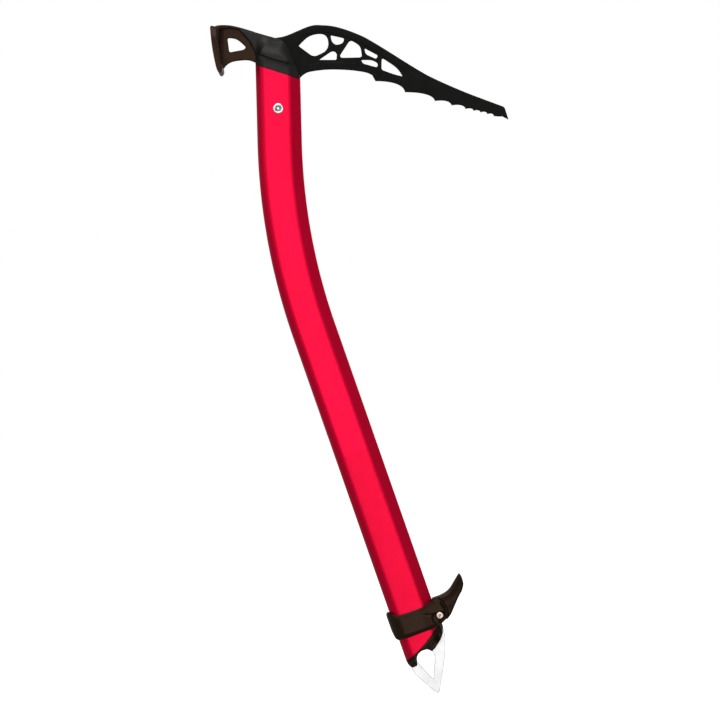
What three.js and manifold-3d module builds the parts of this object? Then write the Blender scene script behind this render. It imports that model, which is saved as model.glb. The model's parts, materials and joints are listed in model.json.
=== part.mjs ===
// Technical ice axe: bent anodised shaft, toothed pick and compact adze in one head, a sliding
// hand rest clamped near the foot, and a flat spike with a clip-in eye.
//
// Millimetres, +Z up, +X towards the pick, Y across the shaft. The origin is on the axis of the
// straight lower shaft at the middle of the grip. Two local frames are used below:
//   head  - origin on the head rivet, x forward and z up as in the main frame;
//   lower - turned with the lower shaft, so its x points forward and its z points up the shaft.
import * as THREE from 'three';
import { mergeVertices } from 'three/addons/utils/BufferGeometryUtils.js';
import Module from 'manifold-3d';

const wasm = await Module();
wasm.setup();

const degrees = Math.PI / 180;

// Driving dimensions.
const GAP = 0.3;                      // left between pieces that touch
const SHAFT_HALF_WIDTH = 15.8;        // fore and aft
const SHAFT_HALF_DEPTH = 10.25;       // side to side
const SHAFT_WALL = 1.5;
const REAR_RADIUS = 7;                // rounded back of the shaft
const BEVEL_START = 8.2;              // where the side face breaks into the front bevel
const NOSE_HALF_DEPTH = 5;            // half of the flat between the two front bevels
const LOWER_LEAN = 19.3 * degrees;    // the lower shaft leans back by this much
const BEND_START = 165.9;             // up the lower shaft from the origin
const BEND_RADIUS = 437.4;
const BEND_TURN = 17.83 * degrees;
const SWEEP_FROM = -90;
const SWEEP_PAST_BEND = 62;
const SWEEP_STEPS = 30;
const UPPER_LEAN = LOWER_LEAN - BEND_TURN;
const HEAD_X = -80.2;                 // the head rivet in the main frame
const HEAD_Z = 314.0;
const AXIS_AT_RIVET = 0.3;            // the shaft's axis passes this far in front of the rivet
const COLLAR_HEIGHT = 25.9;           // height of the shaft's upper cut on the rivet's line
const COLLAR_SLOPE = -0.3146;
const PLATE_HALF = 2;                 // half thickness of the steel plates of the head
const ROOT_HALF = 1.8;                // the same where the hood covers them
const LAP_FACE = 0.15;                // half of the gap between the two lapped tangs
const RIVET_RADIUS = 2.5;
const SPIKE_HALF = 1.6;
const SPIKE_ROOT_HALF = 1.4;
const EYE_X = -2.0;                   // centre of the round top of the spike's eye
const EYE_Z = -81.0;
const EYE_RADIUS = 6.4;
const PIN_Z = -53;                    // spike pin, behind the hand rest
const PIN_RADIUS = 1.5;
const SCREW_X = 17.5;                 // hand rest screw
const SCREW_Z = -54.6;
const SCREW_RADIUS = 1.5;
const SCREW_HEAD_RADIUS = 2.7;
const NUT_RADIUS = 3.2;               // across corners, halved
const SEAT_FACE = 10.3;               // depth of the head's and the nut's seats in the band
const BAND_HALF = 12.8;               // half width of the hand rest's band
const HORN_ROOT_HALF = 8;
const FAR = 200;                      // reach of the cutting tools

const BEVEL_ANGLE = Math.atan2(SHAFT_HALF_DEPTH - NOSE_HALF_DEPTH, SHAFT_HALF_WIDTH - BEVEL_START);

const finish = {
  anodised: new THREE.MeshStandardMaterial({ color: 0xe0063f, roughness: 0.38, metalness: 0.75 }),
  headSteel: new THREE.MeshStandardMaterial({ color: 0x1c1d1b, roughness: 0.5, metalness: 0.5 }),
  adzeSteel: new THREE.MeshStandardMaterial({ color: 0x2a2220, roughness: 0.42, metalness: 0.5 }),
  moulding: new THREE.MeshStandardMaterial({ color: 0x1f211f, roughness: 0.55, metalness: 0 }),
  restNylon: new THREE.MeshStandardMaterial({ color: 0x241f1c, roughness: 0.45, metalness: 0 }),
  stainless: new THREE.MeshStandardMaterial({ color: 0xd9dadb, roughness: 0.3, metalness: 0.9 }),
};

// ---- Solids: closed three.js geometries, joined and cut ----

function solid(geometry) {
  const bare = geometry.index ? geometry.toNonIndexed() : geometry.clone();
  bare.deleteAttribute('normal');
  bare.deleteAttribute('uv');
  const merged = mergeVertices(bare, 1e-4);
  return new wasm.Manifold(new wasm.Mesh({
    numProp: 3,
    vertProperties: new Float32Array(merged.attributes.position.array),
    triVerts: new Uint32Array(merged.index.array),
  }));
}

function geometryOf(body) {
  const mesh = body.getMesh();
  const geometry = new THREE.BufferGeometry();
  geometry.setAttribute('position', new THREE.BufferAttribute(mesh.vertProperties, 3));
  geometry.setIndex(new THREE.BufferAttribute(mesh.triVerts, 1));
  return geometry;
}

// A side view outline (x, z) given thickness along Y.
function plate(outline, yLow, yHigh, segments = 5) {
  const settings = { depth: yHigh - yLow, bevelEnabled: false, curveSegments: segments };
  const geometry = new THREE.ExtrudeGeometry(outline, settings);
  geometry.rotateX(Math.PI / 2);
  geometry.translate(0, yHigh, 0);
  return solid(geometry);
}

// A plan view outline (x, y) given height along Z.
function column(outline, zLow, zHigh, segments = 5) {
  const settings = { depth: zHigh - zLow, bevelEnabled: false, curveSegments: segments };
  const geometry = new THREE.ExtrudeGeometry(outline, settings);
  geometry.translate(0, 0, zLow);
  return solid(geometry);
}

// A front view outline (y, z) given length along X.
function beam(outline, xLow, xHigh) {
  const settings = { depth: xHigh - xLow, bevelEnabled: false };
  const geometry = new THREE.ExtrudeGeometry(outline, settings);
  geometry.translate(0, 0, xLow);
  const turn = new THREE.Matrix4().makeBasis(
    new THREE.Vector3(0, 1, 0),
    new THREE.Vector3(0, 0, 1),
    new THREE.Vector3(1, 0, 0),
  );
  return solid(geometry.applyMatrix4(turn));
}

function rod(x, z, radius, yLow, yHigh, sides = 20) {
  const geometry = new THREE.CylinderGeometry(radius, radius, yHigh - yLow, sides);
  geometry.translate(x, (yLow + yHigh) / 2, z);
  return solid(geometry);
}

function placed(body, matrix) {
  return solid(geometryOf(body).applyMatrix4(matrix));
}

function polygon(points) {
  return new THREE.Shape(points.map(([x, y]) => new THREE.Vector2(x, y)));
}

function mirrored(points) {
  const far = points.map(([y, z]) => [-y, z]).reverse();
  return polygon([...points, ...far]);
}

function smoothTo(path, points) {
  path.splineThru(points.map(([x, y]) => new THREE.Vector2(x, y)));
}

// A closed outline through corners [x, z, r], each rounded off from r before it to r after it.
function rounded(corners) {
  const path = new THREE.Shape();
  const towards = (from, to, distance) => {
    const length = Math.hypot(to[0] - from[0], to[1] - from[1]);
    const share = Math.min(distance / length, 0.48);
    return [from[0] + (to[0] - from[0]) * share, from[1] + (to[1] - from[1]) * share];
  };
  corners.forEach((corner, index) => {
    const before = corners[(index + corners.length - 1) % corners.length];
    const after = corners[(index + 1) % corners.length];
    const start = towards(corner, before, corner[2]);
    const end = towards(corner, after, corner[2]);
    if (index === 0) {
      path.moveTo(...start);
    } else {
      path.lineTo(...start);
    }
    path.quadraticCurveTo(corner[0], corner[1], ...end);
  });
  path.closePath();
  return path;
}

// ---- Shaft ----

// Section of the shaft (x forward, y sideways), drawn in by inset on every side.
function shaftSection(inset) {
  const width = SHAFT_HALF_WIDTH - inset;
  const depth = SHAFT_HALF_DEPTH - inset;
  const radius = REAR_RADIUS - inset;
  const side = BEVEL_START - inset * Math.tan(BEVEL_ANGLE / 2);
  const nose = NOSE_HALF_DEPTH - inset * Math.tan((Math.PI / 2 - BEVEL_ANGLE) / 2);
  const outline = new THREE.Shape();
  outline.moveTo(width, -nose);
  outline.lineTo(width, nose);
  outline.lineTo(side, depth);
  outline.lineTo(radius - width, depth);
  outline.absarc(radius - width, depth - radius, radius, Math.PI / 2, Math.PI);
  outline.lineTo(-width, radius - depth);
  outline.absarc(radius - width, radius - depth, radius, Math.PI, 1.5 * Math.PI);
  outline.lineTo(side, -depth);
  outline.closePath();
  return outline;
}

// The shaft's axis by its length: straight, one bend, straight.
class ShaftAxis extends THREE.Curve {
  getPoint(share, target = new THREE.Vector3()) {
    const bendLength = BEND_RADIUS * BEND_TURN;
    const total = BEND_START + bendLength + SWEEP_PAST_BEND - SWEEP_FROM;
    const along = SWEEP_FROM + share * total;
    const straight = Math.min(along, BEND_START);
    const turned = Math.min(Math.max(along - BEND_START, 0), bendLength) / BEND_RADIUS;
    const rest = Math.max(along - BEND_START - bendLength, 0);
    const lean = LOWER_LEAN - turned;
    const x = -straight * Math.sin(LOWER_LEAN)
      - BEND_RADIUS * (Math.cos(lean) - Math.cos(LOWER_LEAN)) - rest * Math.sin(lean);
    const z = straight * Math.cos(LOWER_LEAN)
      + BEND_RADIUS * (Math.sin(LOWER_LEAN) - Math.sin(lean)) + rest * Math.cos(lean);
    return target.set(x, 0, z);
  }
}

// Across the path, the swept outline's x runs sideways and its y forward.
function sweptSection(inset) {
  const points = shaftSection(inset).getPoints(5).slice(0, -1);
  const outline = new THREE.Shape(points.map((point) => new THREE.Vector2(point.y, point.x)));
  const settings = { steps: SWEEP_STEPS, bevelEnabled: false, extrudePath: new ShaftAxis() };
  return solid(new THREE.ExtrudeGeometry(outline, settings));
}

const headFrame = new THREE.Matrix4().makeTranslation(HEAD_X, 0, HEAD_Z);
const lowerFrame = new THREE.Matrix4().makeRotationY(-LOWER_LEAN);
const upperFrame = new THREE.Matrix4().makeRotationY(-UPPER_LEAN).setPosition(AXIS_AT_RIVET, 0, 0);

// The lower end is cut on a slant, low at the back.
const FOOT_CUT = [[-15.8, -77.8], [-6, -74], [4.5, -68], [15.8, -59.6]];

function footCut(lift) {
  const outline = new THREE.Shape();
  outline.moveTo(-FAR, FOOT_CUT[0][1] + lift);
  outline.lineTo(FOOT_CUT[0][0], FOOT_CUT[0][1] + lift);
  smoothTo(outline, FOOT_CUT.slice(1).map(([x, z]) => [x, z + lift]));
  outline.lineTo(FAR, FOOT_CUT[3][1] + lift);
  outline.lineTo(FAR, -FAR);
  outline.lineTo(-FAR, -FAR);
  return plate(outline, -FAR, FAR);
}

// Everything above the shaft's upper cut, raised by lift.
function aboveCollar(lift) {
  const height = (x) => COLLAR_HEIGHT + lift + COLLAR_SLOPE * x;
  return plate(polygon([[-40, height(-40)], [40, height(40)], [40, FAR], [-40, FAR]]), -FAR, FAR);
}

function makeShaft() {
  const rivetHole = rod(0, 0, RIVET_RADIUS + GAP, -FAR, FAR);
  const pinHole = rod(0, PIN_Z, PIN_RADIUS + GAP, -FAR, FAR);
  return sweptSection(0)
    .subtract(sweptSection(SHAFT_WALL))
    .subtract(placed(aboveCollar(0), headFrame))
    .subtract(placed(footCut(0), lowerFrame))
    .subtract(placed(rivetHole, headFrame))
    .subtract(placed(pinHole, lowerFrame));
}

// ---- Head ----

// The line where the hood's cheeks end on the pick, from the collar up to the ridge.
const HOOD_FRONT = [[15.6, 21.4], [14.2, 26.6], [10.6, 37.3], [7.1, 43.7], [3.4, 48.7], [-2.5, 50.8]];

// Points of the teeth along the pick's lower edge, from the shaft to the tip.
const TEETH = [
  [69.1, 20.2], [90.2, 12.3], [111.5, 6.0], [123.3, 2.9], [133.3, 0.3],
  [139.0, -1.0], [143.9, -2.1], [148.9, -3.4], [153.5, -4.7],
];
const LONG_TEETH = 2;                 // the first scallops are flat, the others arch upwards
const TOOTH_ARCH = 0.9;

const PICK_WINDOWS = [
  [[14.2, 45.2, 1.2], [22.2, 53.2, 6], [34.6, 54.2, 6], [36.2, 42.4, 6.5], [25.1, 37.2, 3.2]],
  [[37.0, 52.8, 1.3], [46.9, 50.6, 1.4], [46.0, 47.2, 1.6], [41.4, 45.6, 2.6], [38.2, 47.6, 2]],
  [[28.9, 35.2, 0.9], [38.4, 41.8, 3], [41.7, 40.2, 2], [41.3, 35.2, 1]],
  [[51.2, 49.6, 2.6], [58.4, 45.2, 3], [59.6, 37.0, 2.2], [42.6, 36.6, 4]],
  [[61.2, 43.6, 1.3], [70.9, 38.4, 1.1], [69.6, 35.9, 1.1], [62.2, 39.2, 1.8]],
  [[58.8, 35.2, 1.3], [66.6, 35.2, 2.6], [70.9, 32.8, 1.6], [70.4, 29.8, 1.4], [60.2, 32.6, 1.6]],
  [[73.6, 36.8, 2.2], [84.6, 29.6, 5], [88.6, 23.4, 1.2], [82.4, 24.9, 2.5], [73.4, 28.2, 1.6]],
];

const ADZE_LAP = [[-13.0, 51.2], [-4.8, 43.9], [2.3, 38.2], [8.3, 26.1], [8.3, -14.5], [-13.0, -14.5]];

function pickOutline() {
  const edge = HOOD_FRONT.map(([x, z]) => [x + GAP + 0.1, z + 0.1]);
  const outline = new THREE.Shape();
  outline.moveTo(...edge[0]);
  smoothTo(outline, [[18.0, 24.8], [22.8, 26.9], [35.6, 28.4], [50.6, 28.0], [62.0, 26.4], [66.8, 24.4]]);
  outline.lineTo(...TEETH[0]);
  TEETH.slice(1).forEach(([x, z], index) => {
    const [fromX, fromZ] = TEETH[index];
    const arch = index < LONG_TEETH ? 0 : TOOTH_ARCH;
    const run = x - fromX;
    const rise = 0.75 * (fromZ - z) + arch;
    outline.bezierCurveTo(fromX + 0.5 * run, fromZ + arch, x - 0.05 * run, z + rise, x, z);
  });
  outline.lineTo(159.6, -5.0);
  outline.lineTo(163.9, -7.3);
  outline.lineTo(161.5, 0.6);
  outline.quadraticCurveTo(161.0, 1.6, 159.6, 2.2);
  smoothTo(outline, [
    [134.0, 11.8], [112.6, 21.1], [99.1, 28.3], [69.1, 46.9], [56.3, 53.6],
    [42.0, 58.5], [31.4, 59.9], [22.1, 59.2], [5.7, 52.5], edge[5],
  ]);
  smoothTo(outline, edge.slice(0, 5).reverse());
  return outline;
}

// Visible blade, a slightly thinner root under the hood, and half of the lapped tang.
function makePick() {
  const root = polygon([
    [-12.5, -14], [12.9, -14], [12.9, 22.4], [15.5, 22.6], [16.8, 26], [13, 38],
    [8, 46.5], [3, 50.2], [-1.9, 50.2], [-2.1, 48.2], [-12.5, 50.9],
  ]);
  const windows = PICK_WINDOWS.map((corners) => plate(rounded(corners), -FAR, FAR, 3));
  return plate(pickOutline(), -PLATE_HALF, PLATE_HALF, 4)
    .add(plate(root, -ROOT_HALF, ROOT_HALF))
    .subtract(windows.reduce((all, window) => all.add(window)))
    .subtract(plate(polygon(ADZE_LAP), -FAR, LAP_FACE))
    .subtract(rod(0, 0, RIVET_RADIUS + GAP, -FAR, FAR));
}

function adzeWeb() {
  const outline = new THREE.Shape();
  outline.moveTo(-16.7, 33.4);
  smoothTo(outline, [[-22.1, 35.0], [-31.4, 34.2], [-36.3, 32.0], [-39.2, 28.6]]);
  outline.lineTo(-42.5, 27);
  outline.lineTo(-45.5, 57);
  smoothTo(outline, [[-42.0, 59.6], [-34.9, 59.5], [-28.0, 58.2], [-16.7, 54.9]]);
  const window = rounded([[-36.2, 50.4, 1], [-30.5, 49.7, 3], [-22.9, 42.6, 1.2], [-34.9, 40.2, 1]]);
  return plate(outline, -PLATE_HALF, PLATE_HALF).subtract(plate(window, -FAR, FAR, 3));
}

// The blade stands across the web; its cutting edge is at the foot, ground round.
function adzeBlade() {
  const profile = new THREE.Shape();
  profile.moveTo(-42.2, 25.4);
  smoothTo(profile, [[-43.6, 28.2], [-45.3, 35.5], [-46.8, 44], [-47.9, 53], [-48.4, 57.4]]);
  profile.quadraticCurveTo(-48.2, 58.6, -47.0, 58.7);
  profile.lineTo(-44.0, 58.0);
  smoothTo(profile, [[-43.4, 50], [-42.3, 42], [-40.8, 34.5], [-39.2, 28.8]]);
  profile.quadraticCurveTo(-38.8, 26.6, -40.4, 25.1);
  const width = new THREE.Shape();
  width.moveTo(-19, 24);
  width.lineTo(19, 24);
  width.lineTo(18.2, 38);
  width.quadraticCurveTo(16.5, 58, 9, 59.5);
  width.lineTo(-9, 59.5);
  width.quadraticCurveTo(-16.5, 58, -18.2, 38);
  width.closePath();
  return plate(profile, -20, 20).intersect(beam(width, -60, -30));
}

// Concave fillet on both sides of the web where it runs into the blade.
function adzeFillet() {
  const reach = 4.5;
  const inner = PLATE_HALF + reach;
  const outline = new THREE.Shape();
  outline.moveTo(-44, -inner);
  outline.lineTo(-42, -inner);
  outline.absarc(-42 + reach, -inner, reach, Math.PI, Math.PI / 2, true);
  outline.lineTo(-42 + reach, PLATE_HALF);
  outline.absarc(-42 + reach, inner, reach, 1.5 * Math.PI, Math.PI, true);
  outline.lineTo(-44, inner);
  outline.closePath();
  const side = polygon([[-44, 31], [-38.4, 29.6], [-36.3, 32], [-36.8, 59], [-45.5, 57]]);
  return column(outline, 20, 70).intersect(plate(side, -20, 20));
}

function makeAdze() {
  const neck = polygon([[-17, 52.0], [-12.8, 50.8], [-12.8, 33], [-17, 33.6]]);
  const lap = polygon([
    [-14, 51.0], [-12.8, 50.5], [-5, 43.4], [2, 37.8], [8, 26], [8, -14],
    [-12.5, -14], [-12.5, 32.6], [-14, 33],
  ]);
  return adzeWeb()
    .add(adzeBlade())
    .add(adzeFillet())
    .add(plate(neck, -ROOT_HALF, ROOT_HALF))
    .add(plate(lap, -ROOT_HALF, -LAP_FACE))
    .subtract(rod(0, 0, RIVET_RADIUS + GAP, -FAR, FAR));
}

// Moulded saddle over the joint: two cheeks, a short roof and a spigot in the tube, slotted for
// the plates from below, with a wing on each side of the adze web.
function makeHood() {
  const side = new THREE.Shape();
  side.moveTo(...HOOD_FRONT[0]);
  smoothTo(side, HOOD_FRONT.slice(1));
  side.lineTo(-16.0, 54.6);
  side.lineTo(-27.4, 57.0);
  side.lineTo(-27.4, 55.2);
  smoothTo(side, [[-20.3, 47.0], [-16.4, 38.5], [-16.4, 20]]);
  side.lineTo(15.8, 15);
  const crown = mirrored([
    [10.25, 10], [10.25, 33], [10.0, 37], [8.2, 44], [5.6, 49], [3.6, 53], [3.4, 60],
  ]);
  const cheeks = placed(column(shaftSection(0), 10, 60), upperFrame).intersect(beam(crown, -30, 30));
  const wing = plate(polygon([[-12, 30], [-12, 60], [-40, 60], [-40, 30]]), -3.6, 3.6);
  const spigot = placed(column(shaftSection(SHAFT_WALL + GAP), 11, 34), upperFrame)
    .intersect(plate(polygon([[-14, 5], [14, 5], [11, 34], [-14, 34]]), -FAR, FAR));
  const slot = polygon([
    [-FAR, 0], [-FAR, 70], [-16.4, 70], [-16.4, 52.6], [-2.5, 48.7], [-2.4, 70], [FAR, 70], [FAR, 0],
  ]);
  const slotHalf = PLATE_HALF + GAP;
  return cheeks.add(wing)
    .intersect(plate(side, -FAR, FAR))
    .intersect(aboveCollar(GAP))
    .add(spigot)
    .subtract(plate(slot, -slotHalf, slotHalf));
}

// Packers wedge the tangs in the tube on either side.
function makePacker(sign) {
  const inner = ROOT_HALF + GAP;
  const half = sign < 0
    ? polygon([[-20, -20], [20, -20], [20, -inner], [-20, -inner]])
    : polygon([[-20, inner], [20, inner], [20, 20], [-20, 20]]);
  const filling = column(shaftSection(SHAFT_WALL + GAP), -16, 10);
  return placed(filling, upperFrame)
    .intersect(column(half, -20, 20))
    .subtract(rod(0, 0, RIVET_RADIUS + GAP, -FAR, FAR));
}

function lathed(profile, sides) {
  return new THREE.LatheGeometry(profile.map(([r, y]) => new THREE.Vector2(r, y)), sides);
}

function makeRivet() {
  const seat = SHAFT_HALF_DEPTH + 0.25;
  return lathed([
    [1.8, -seat - 0.9], [2.7, -seat - 0.9], [3.7, -seat - 0.4], [3.7, -seat], [RIVET_RADIUS, -seat],
    [RIVET_RADIUS, seat], [3.7, seat], [3.7, seat + 0.4], [2.7, seat + 0.9], [1.8, seat + 0.9],
    [1.8, -seat - 0.9],
  ], 24);
}

function makeRivetPin() {
  return geometryOf(rod(0, 0, 1.45, -SHAFT_HALF_DEPTH - 0.6, SHAFT_HALF_DEPTH + 0.6, 16));
}

// ---- Foot: plug and spike ----

const PLUG_FRONT = [[6.7, -76.0], [11.4, -72.3], [14.0, -69.5], [15.6, -67.0], [17.0, -62.6]];

function makePlug() {
  const side = new THREE.Shape();
  side.moveTo(-15.8, -70);
  side.lineTo(-15.8, -78);
  smoothTo(side, [[-15.3, -80.5], [-14.2, -83.0], [-12.5, -84.0]]);
  side.lineTo(-9.7, -83.8);
  side.lineTo(-8.6, -79.6);
  side.lineTo(EYE_X, EYE_Z);
  side.lineTo(4.2, -77.4);
  side.lineTo(...PLUG_FRONT[0]);
  smoothTo(side, PLUG_FRONT.slice(1));
  side.lineTo(16.2, -60.2);
  side.lineTo(15.8, -50);
  const lip = plate(polygon([[10, -80], [20, -80], [20, -60.2], [10, -60.2]]), -6.5, 6.5);
  const bulge = lip.add(column(shaftSection(0), -90, -50)).intersect(plate(side, -FAR, FAR));
  const visible = bulge.intersect(footCut(-GAP));
  const spigot = column(shaftSection(SHAFT_WALL + GAP), -80, -46).intersect(plate(polygon([
    [-14.2, -79], [-9, -79], [EYE_X, -73.8], [4.4, -76.6], [13.9, -68], [13.9, -46], [-13.9, -46],
  ]), -FAR, FAR));
  const slotHalf = SPIKE_ROOT_HALF + GAP;
  const slot = polygon([
    [-16.2, -90], [-16.2, -84], [-12.4, -80], [-10.4, -74], [-10.4, -49.6],
    [9.4, -49.6], [9.4, -60.8], [16, -62.0], [20, -62.0], [20, -90],
  ]);
  return visible.add(spigot)
    .subtract(plate(slot, -slotHalf, slotHalf))
    .subtract(rod(EYE_X, EYE_Z, EYE_RADIUS + 0.2, -FAR, FAR, 32))
    .subtract(rod(0, PIN_Z, PIN_RADIUS + GAP, -FAR, FAR));
}

// Flat pointed plate with a teardrop eye; its tang runs up into the slotted plug.
function makeSpike() {
  const outline = new THREE.Shape();
  outline.moveTo(-12.0, -80);
  outline.lineTo(-14.2, -84.6);
  outline.lineTo(-13.0, -89.3);
  outline.lineTo(-4.2, -105.0);
  outline.quadraticCurveTo(-2.0, -108.6, -0.2, -106.0);
  smoothTo(outline, [[3.6, -98.8], [9.2, -88.4], [12.7, -80], [15.9, -71.6], [17.0, -63.6]]);
  outline.lineTo(16.0, -62.4);
  outline.lineTo(9.0, -61.2);
  outline.lineTo(9.0, -50);
  outline.lineTo(-10, -50);
  outline.lineTo(-10, -74);
  const covered = polygon([
    [-30, -40], [-16.4, -80.5], [-14.6, -83.8], [-12.5, -84.4], [-9.3, -84.2], [-8.2, -80],
    [EYE_X, -74], [4.2, -77.8], [7.0, -76.4], [11.7, -72.7], [14.4, -69.8], [16.0, -67.1],
    [17.4, -62.6], [18, -40],
  ]);
  const apex = [-1.8, -96.4];
  const eye = new THREE.Shape();
  eye.moveTo(...apex);
  eye.lineTo(EYE_X + EYE_RADIUS * 0.97, EYE_Z - EYE_RADIUS * 0.24);
  eye.absarc(EYE_X, EYE_Z, EYE_RADIUS, -0.24, Math.PI + 0.24, false);
  eye.closePath();
  return plate(outline, -SPIKE_HALF, SPIKE_HALF)
    .subtract(plate(covered, -FAR, FAR))
    .add(plate(outline, -SPIKE_ROOT_HALF, SPIKE_ROOT_HALF))
    .subtract(plate(eye, -FAR, FAR, 12))
    .subtract(rod(0, PIN_Z, PIN_RADIUS + GAP, -FAR, FAR));
}

// ---- Sliding hand rest ----

function bandSide() {
  const side = new THREE.Shape();
  side.moveTo(-16.9, -41.0);
  smoothTo(side, [[-12.8, -44.0], [-7.9, -45.2], [7.5, -45.3], [13.6, -44.0], [16.5, -42.8]]);
  side.lineTo(20.5, -43.0);
  smoothTo(side, [[22.6, -46.5], [23.5, -51.5], [22.8, -56.0], [20.2, -58.9], [15.7, -60.8]]);
  side.lineTo(9, -62.4);
  side.lineTo(-15.2, -62.3);
  smoothTo(side, [[-17.6, -60.2], [-18.6, -54.5]]);
  side.lineTo(-18.7, -43.8);
  smoothTo(side, [[-18.2, -41.9], [-16.9, -41.0]]);
  return side;
}

// The six-sided seat, nut and key recess all lie on the hand rest screw.
function hexagon(radius, yLow, yHigh) {
  return rod(SCREW_X, SCREW_Z, radius, yLow, yHigh, 6);
}

function makeBand() {
  const rearRound = 9.5;
  const frontRound = 4;
  const plan = rounded([
    [-18.7, -BAND_HALF, rearRound], [23.6, -BAND_HALF, frontRound],
    [23.6, BAND_HALF, frontRound], [-18.7, BAND_HALF, rearRound],
  ]);
  const slotHalf = HORN_ROOT_HALF + GAP;
  const slot = polygon([[10, -slotHalf], [40, -slotHalf], [40, slotHalf], [10, slotHalf]]);
  const headSeat = rod(SCREW_X, SCREW_Z, SCREW_HEAD_RADIUS + 0.7, -FAR, -SEAT_FACE);
  const nutSeat = hexagon(NUT_RADIUS + 0.35, SEAT_FACE, FAR);
  return column(plan, -70, -35)
    .intersect(plate(bandSide(), -FAR, FAR))
    .subtract(column(shaftSection(-GAP), -FAR, FAR))
    .subtract(column(slot, -FAR, FAR))
    .subtract(rod(SCREW_X, SCREW_Z, SCREW_RADIUS + GAP, -FAR, FAR))
    .subtract(headSeat)
    .subtract(nutSeat);
}

// Hooked finger stop: its root sits between the band's ears, its horn curves up and tapers.
function makeHorn() {
  const root = polygon([[16.1, -58.6], [16.1, -42.2], [24, -41.9], [26, -45], [26, -55.5], [21.8, -58.9]]);
  const fin = new THREE.Shape();
  fin.moveTo(21.5, -42.0);
  smoothTo(fin, [[26.2, -41.4], [30.7, -39.4], [36.2, -34.8], [39.4, -32.1]]);
  smoothTo(fin, [[40.5, -32.2], [41.2, -34.4], [40.6, -40.0]]);
  fin.lineTo(38.0, -43.9);
  fin.lineTo(25.4, -56.5);
  fin.lineTo(22.0, -58.9);
  smoothTo(fin, [[24.1, -54.5], [24.2, -49.5], [22.6, -44.5]]);
  const taper = polygon([[15, -11.2], [25, -11.2], [42, -3], [42, 3], [25, 11.2], [15, 11.2]]);
  return plate(root, -HORN_ROOT_HALF, HORN_ROOT_HALF)
    .add(plate(fin, -12, 12).intersect(column(taper, -70, -20)))
    .subtract(rod(SCREW_X, SCREW_Z, SCREW_RADIUS + GAP, -FAR, FAR));
}

function makeScrew() {
  const headOuter = -12.4;
  const headInner = -SEAT_FACE - GAP;
  const tip = 13.2;
  return rod(SCREW_X, SCREW_Z, SCREW_HEAD_RADIUS, headOuter, headInner, 24)
    .add(rod(SCREW_X, SCREW_Z, SCREW_RADIUS, headInner - 0.5, tip, 16))
    .subtract(hexagon(1.35, headOuter - 1, headOuter + 1.1));
}

function makeNut() {
  const bore = rod(SCREW_X, SCREW_Z, SCREW_RADIUS + 0.12, 0, FAR, 16);
  return hexagon(NUT_RADIUS, SEAT_FACE + GAP, 12.7).subtract(bore);
}

// ---- Assembly ----

function piece(name, shape, material) {
  const geometry = shape.isBufferGeometry ? shape : geometryOf(shape);
  const mesh = new THREE.Mesh(geometry, material.clone());
  mesh.name = name;
  return mesh;
}

const axe = new THREE.Group();
axe.add(piece('shaft', makeShaft(), finish.anodised));

const head = new THREE.Group();
head.position.set(HEAD_X, 0, HEAD_Z);
head.add(piece('pick', makePick(), finish.headSteel));
head.add(piece('adze', makeAdze(), finish.adzeSteel));
head.add(piece('head_hood', makeHood(), finish.moulding));
head.add(piece('tang_packer_left', makePacker(-1), finish.moulding));
head.add(piece('tang_packer_right', makePacker(1), finish.moulding));
head.add(piece('head_rivet', makeRivet(), finish.stainless));
head.add(piece('head_rivet_pin', makeRivetPin(), finish.stainless));
axe.add(head);

const foot = new THREE.Group();
foot.rotation.y = -LOWER_LEAN;
foot.add(piece('end_plug', makePlug(), finish.moulding));
foot.add(piece('spike', makeSpike(), finish.stainless));
foot.add(piece('spike_pin', rod(0, PIN_Z, PIN_RADIUS, -10.1, 10.1, 16), finish.stainless));
foot.add(piece('rest_band', makeBand(), finish.restNylon));
foot.add(piece('rest_horn', makeHorn(), finish.restNylon));
foot.add(piece('rest_screw', makeScrew(), finish.stainless));
foot.add(piece('rest_nut', makeNut(), finish.stainless));
axe.add(foot);

export default axe;
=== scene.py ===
"""Ice axe, visual model. Pieces are built in millimetres in one of the axe's two local frames, the
head's (origin on the head rivet) or the foot's (turned with the lower shaft), and placed by the
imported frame; the bent shaft is built in the frame itself. Side outlines are given a thickness that
varies over their face, then cut to fit."""
import json
import math

import bmesh
import bpy
import numpy as np
from mathutils import Matrix, Vector
from mathutils.geometry import delaunay_2d_cdt


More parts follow.
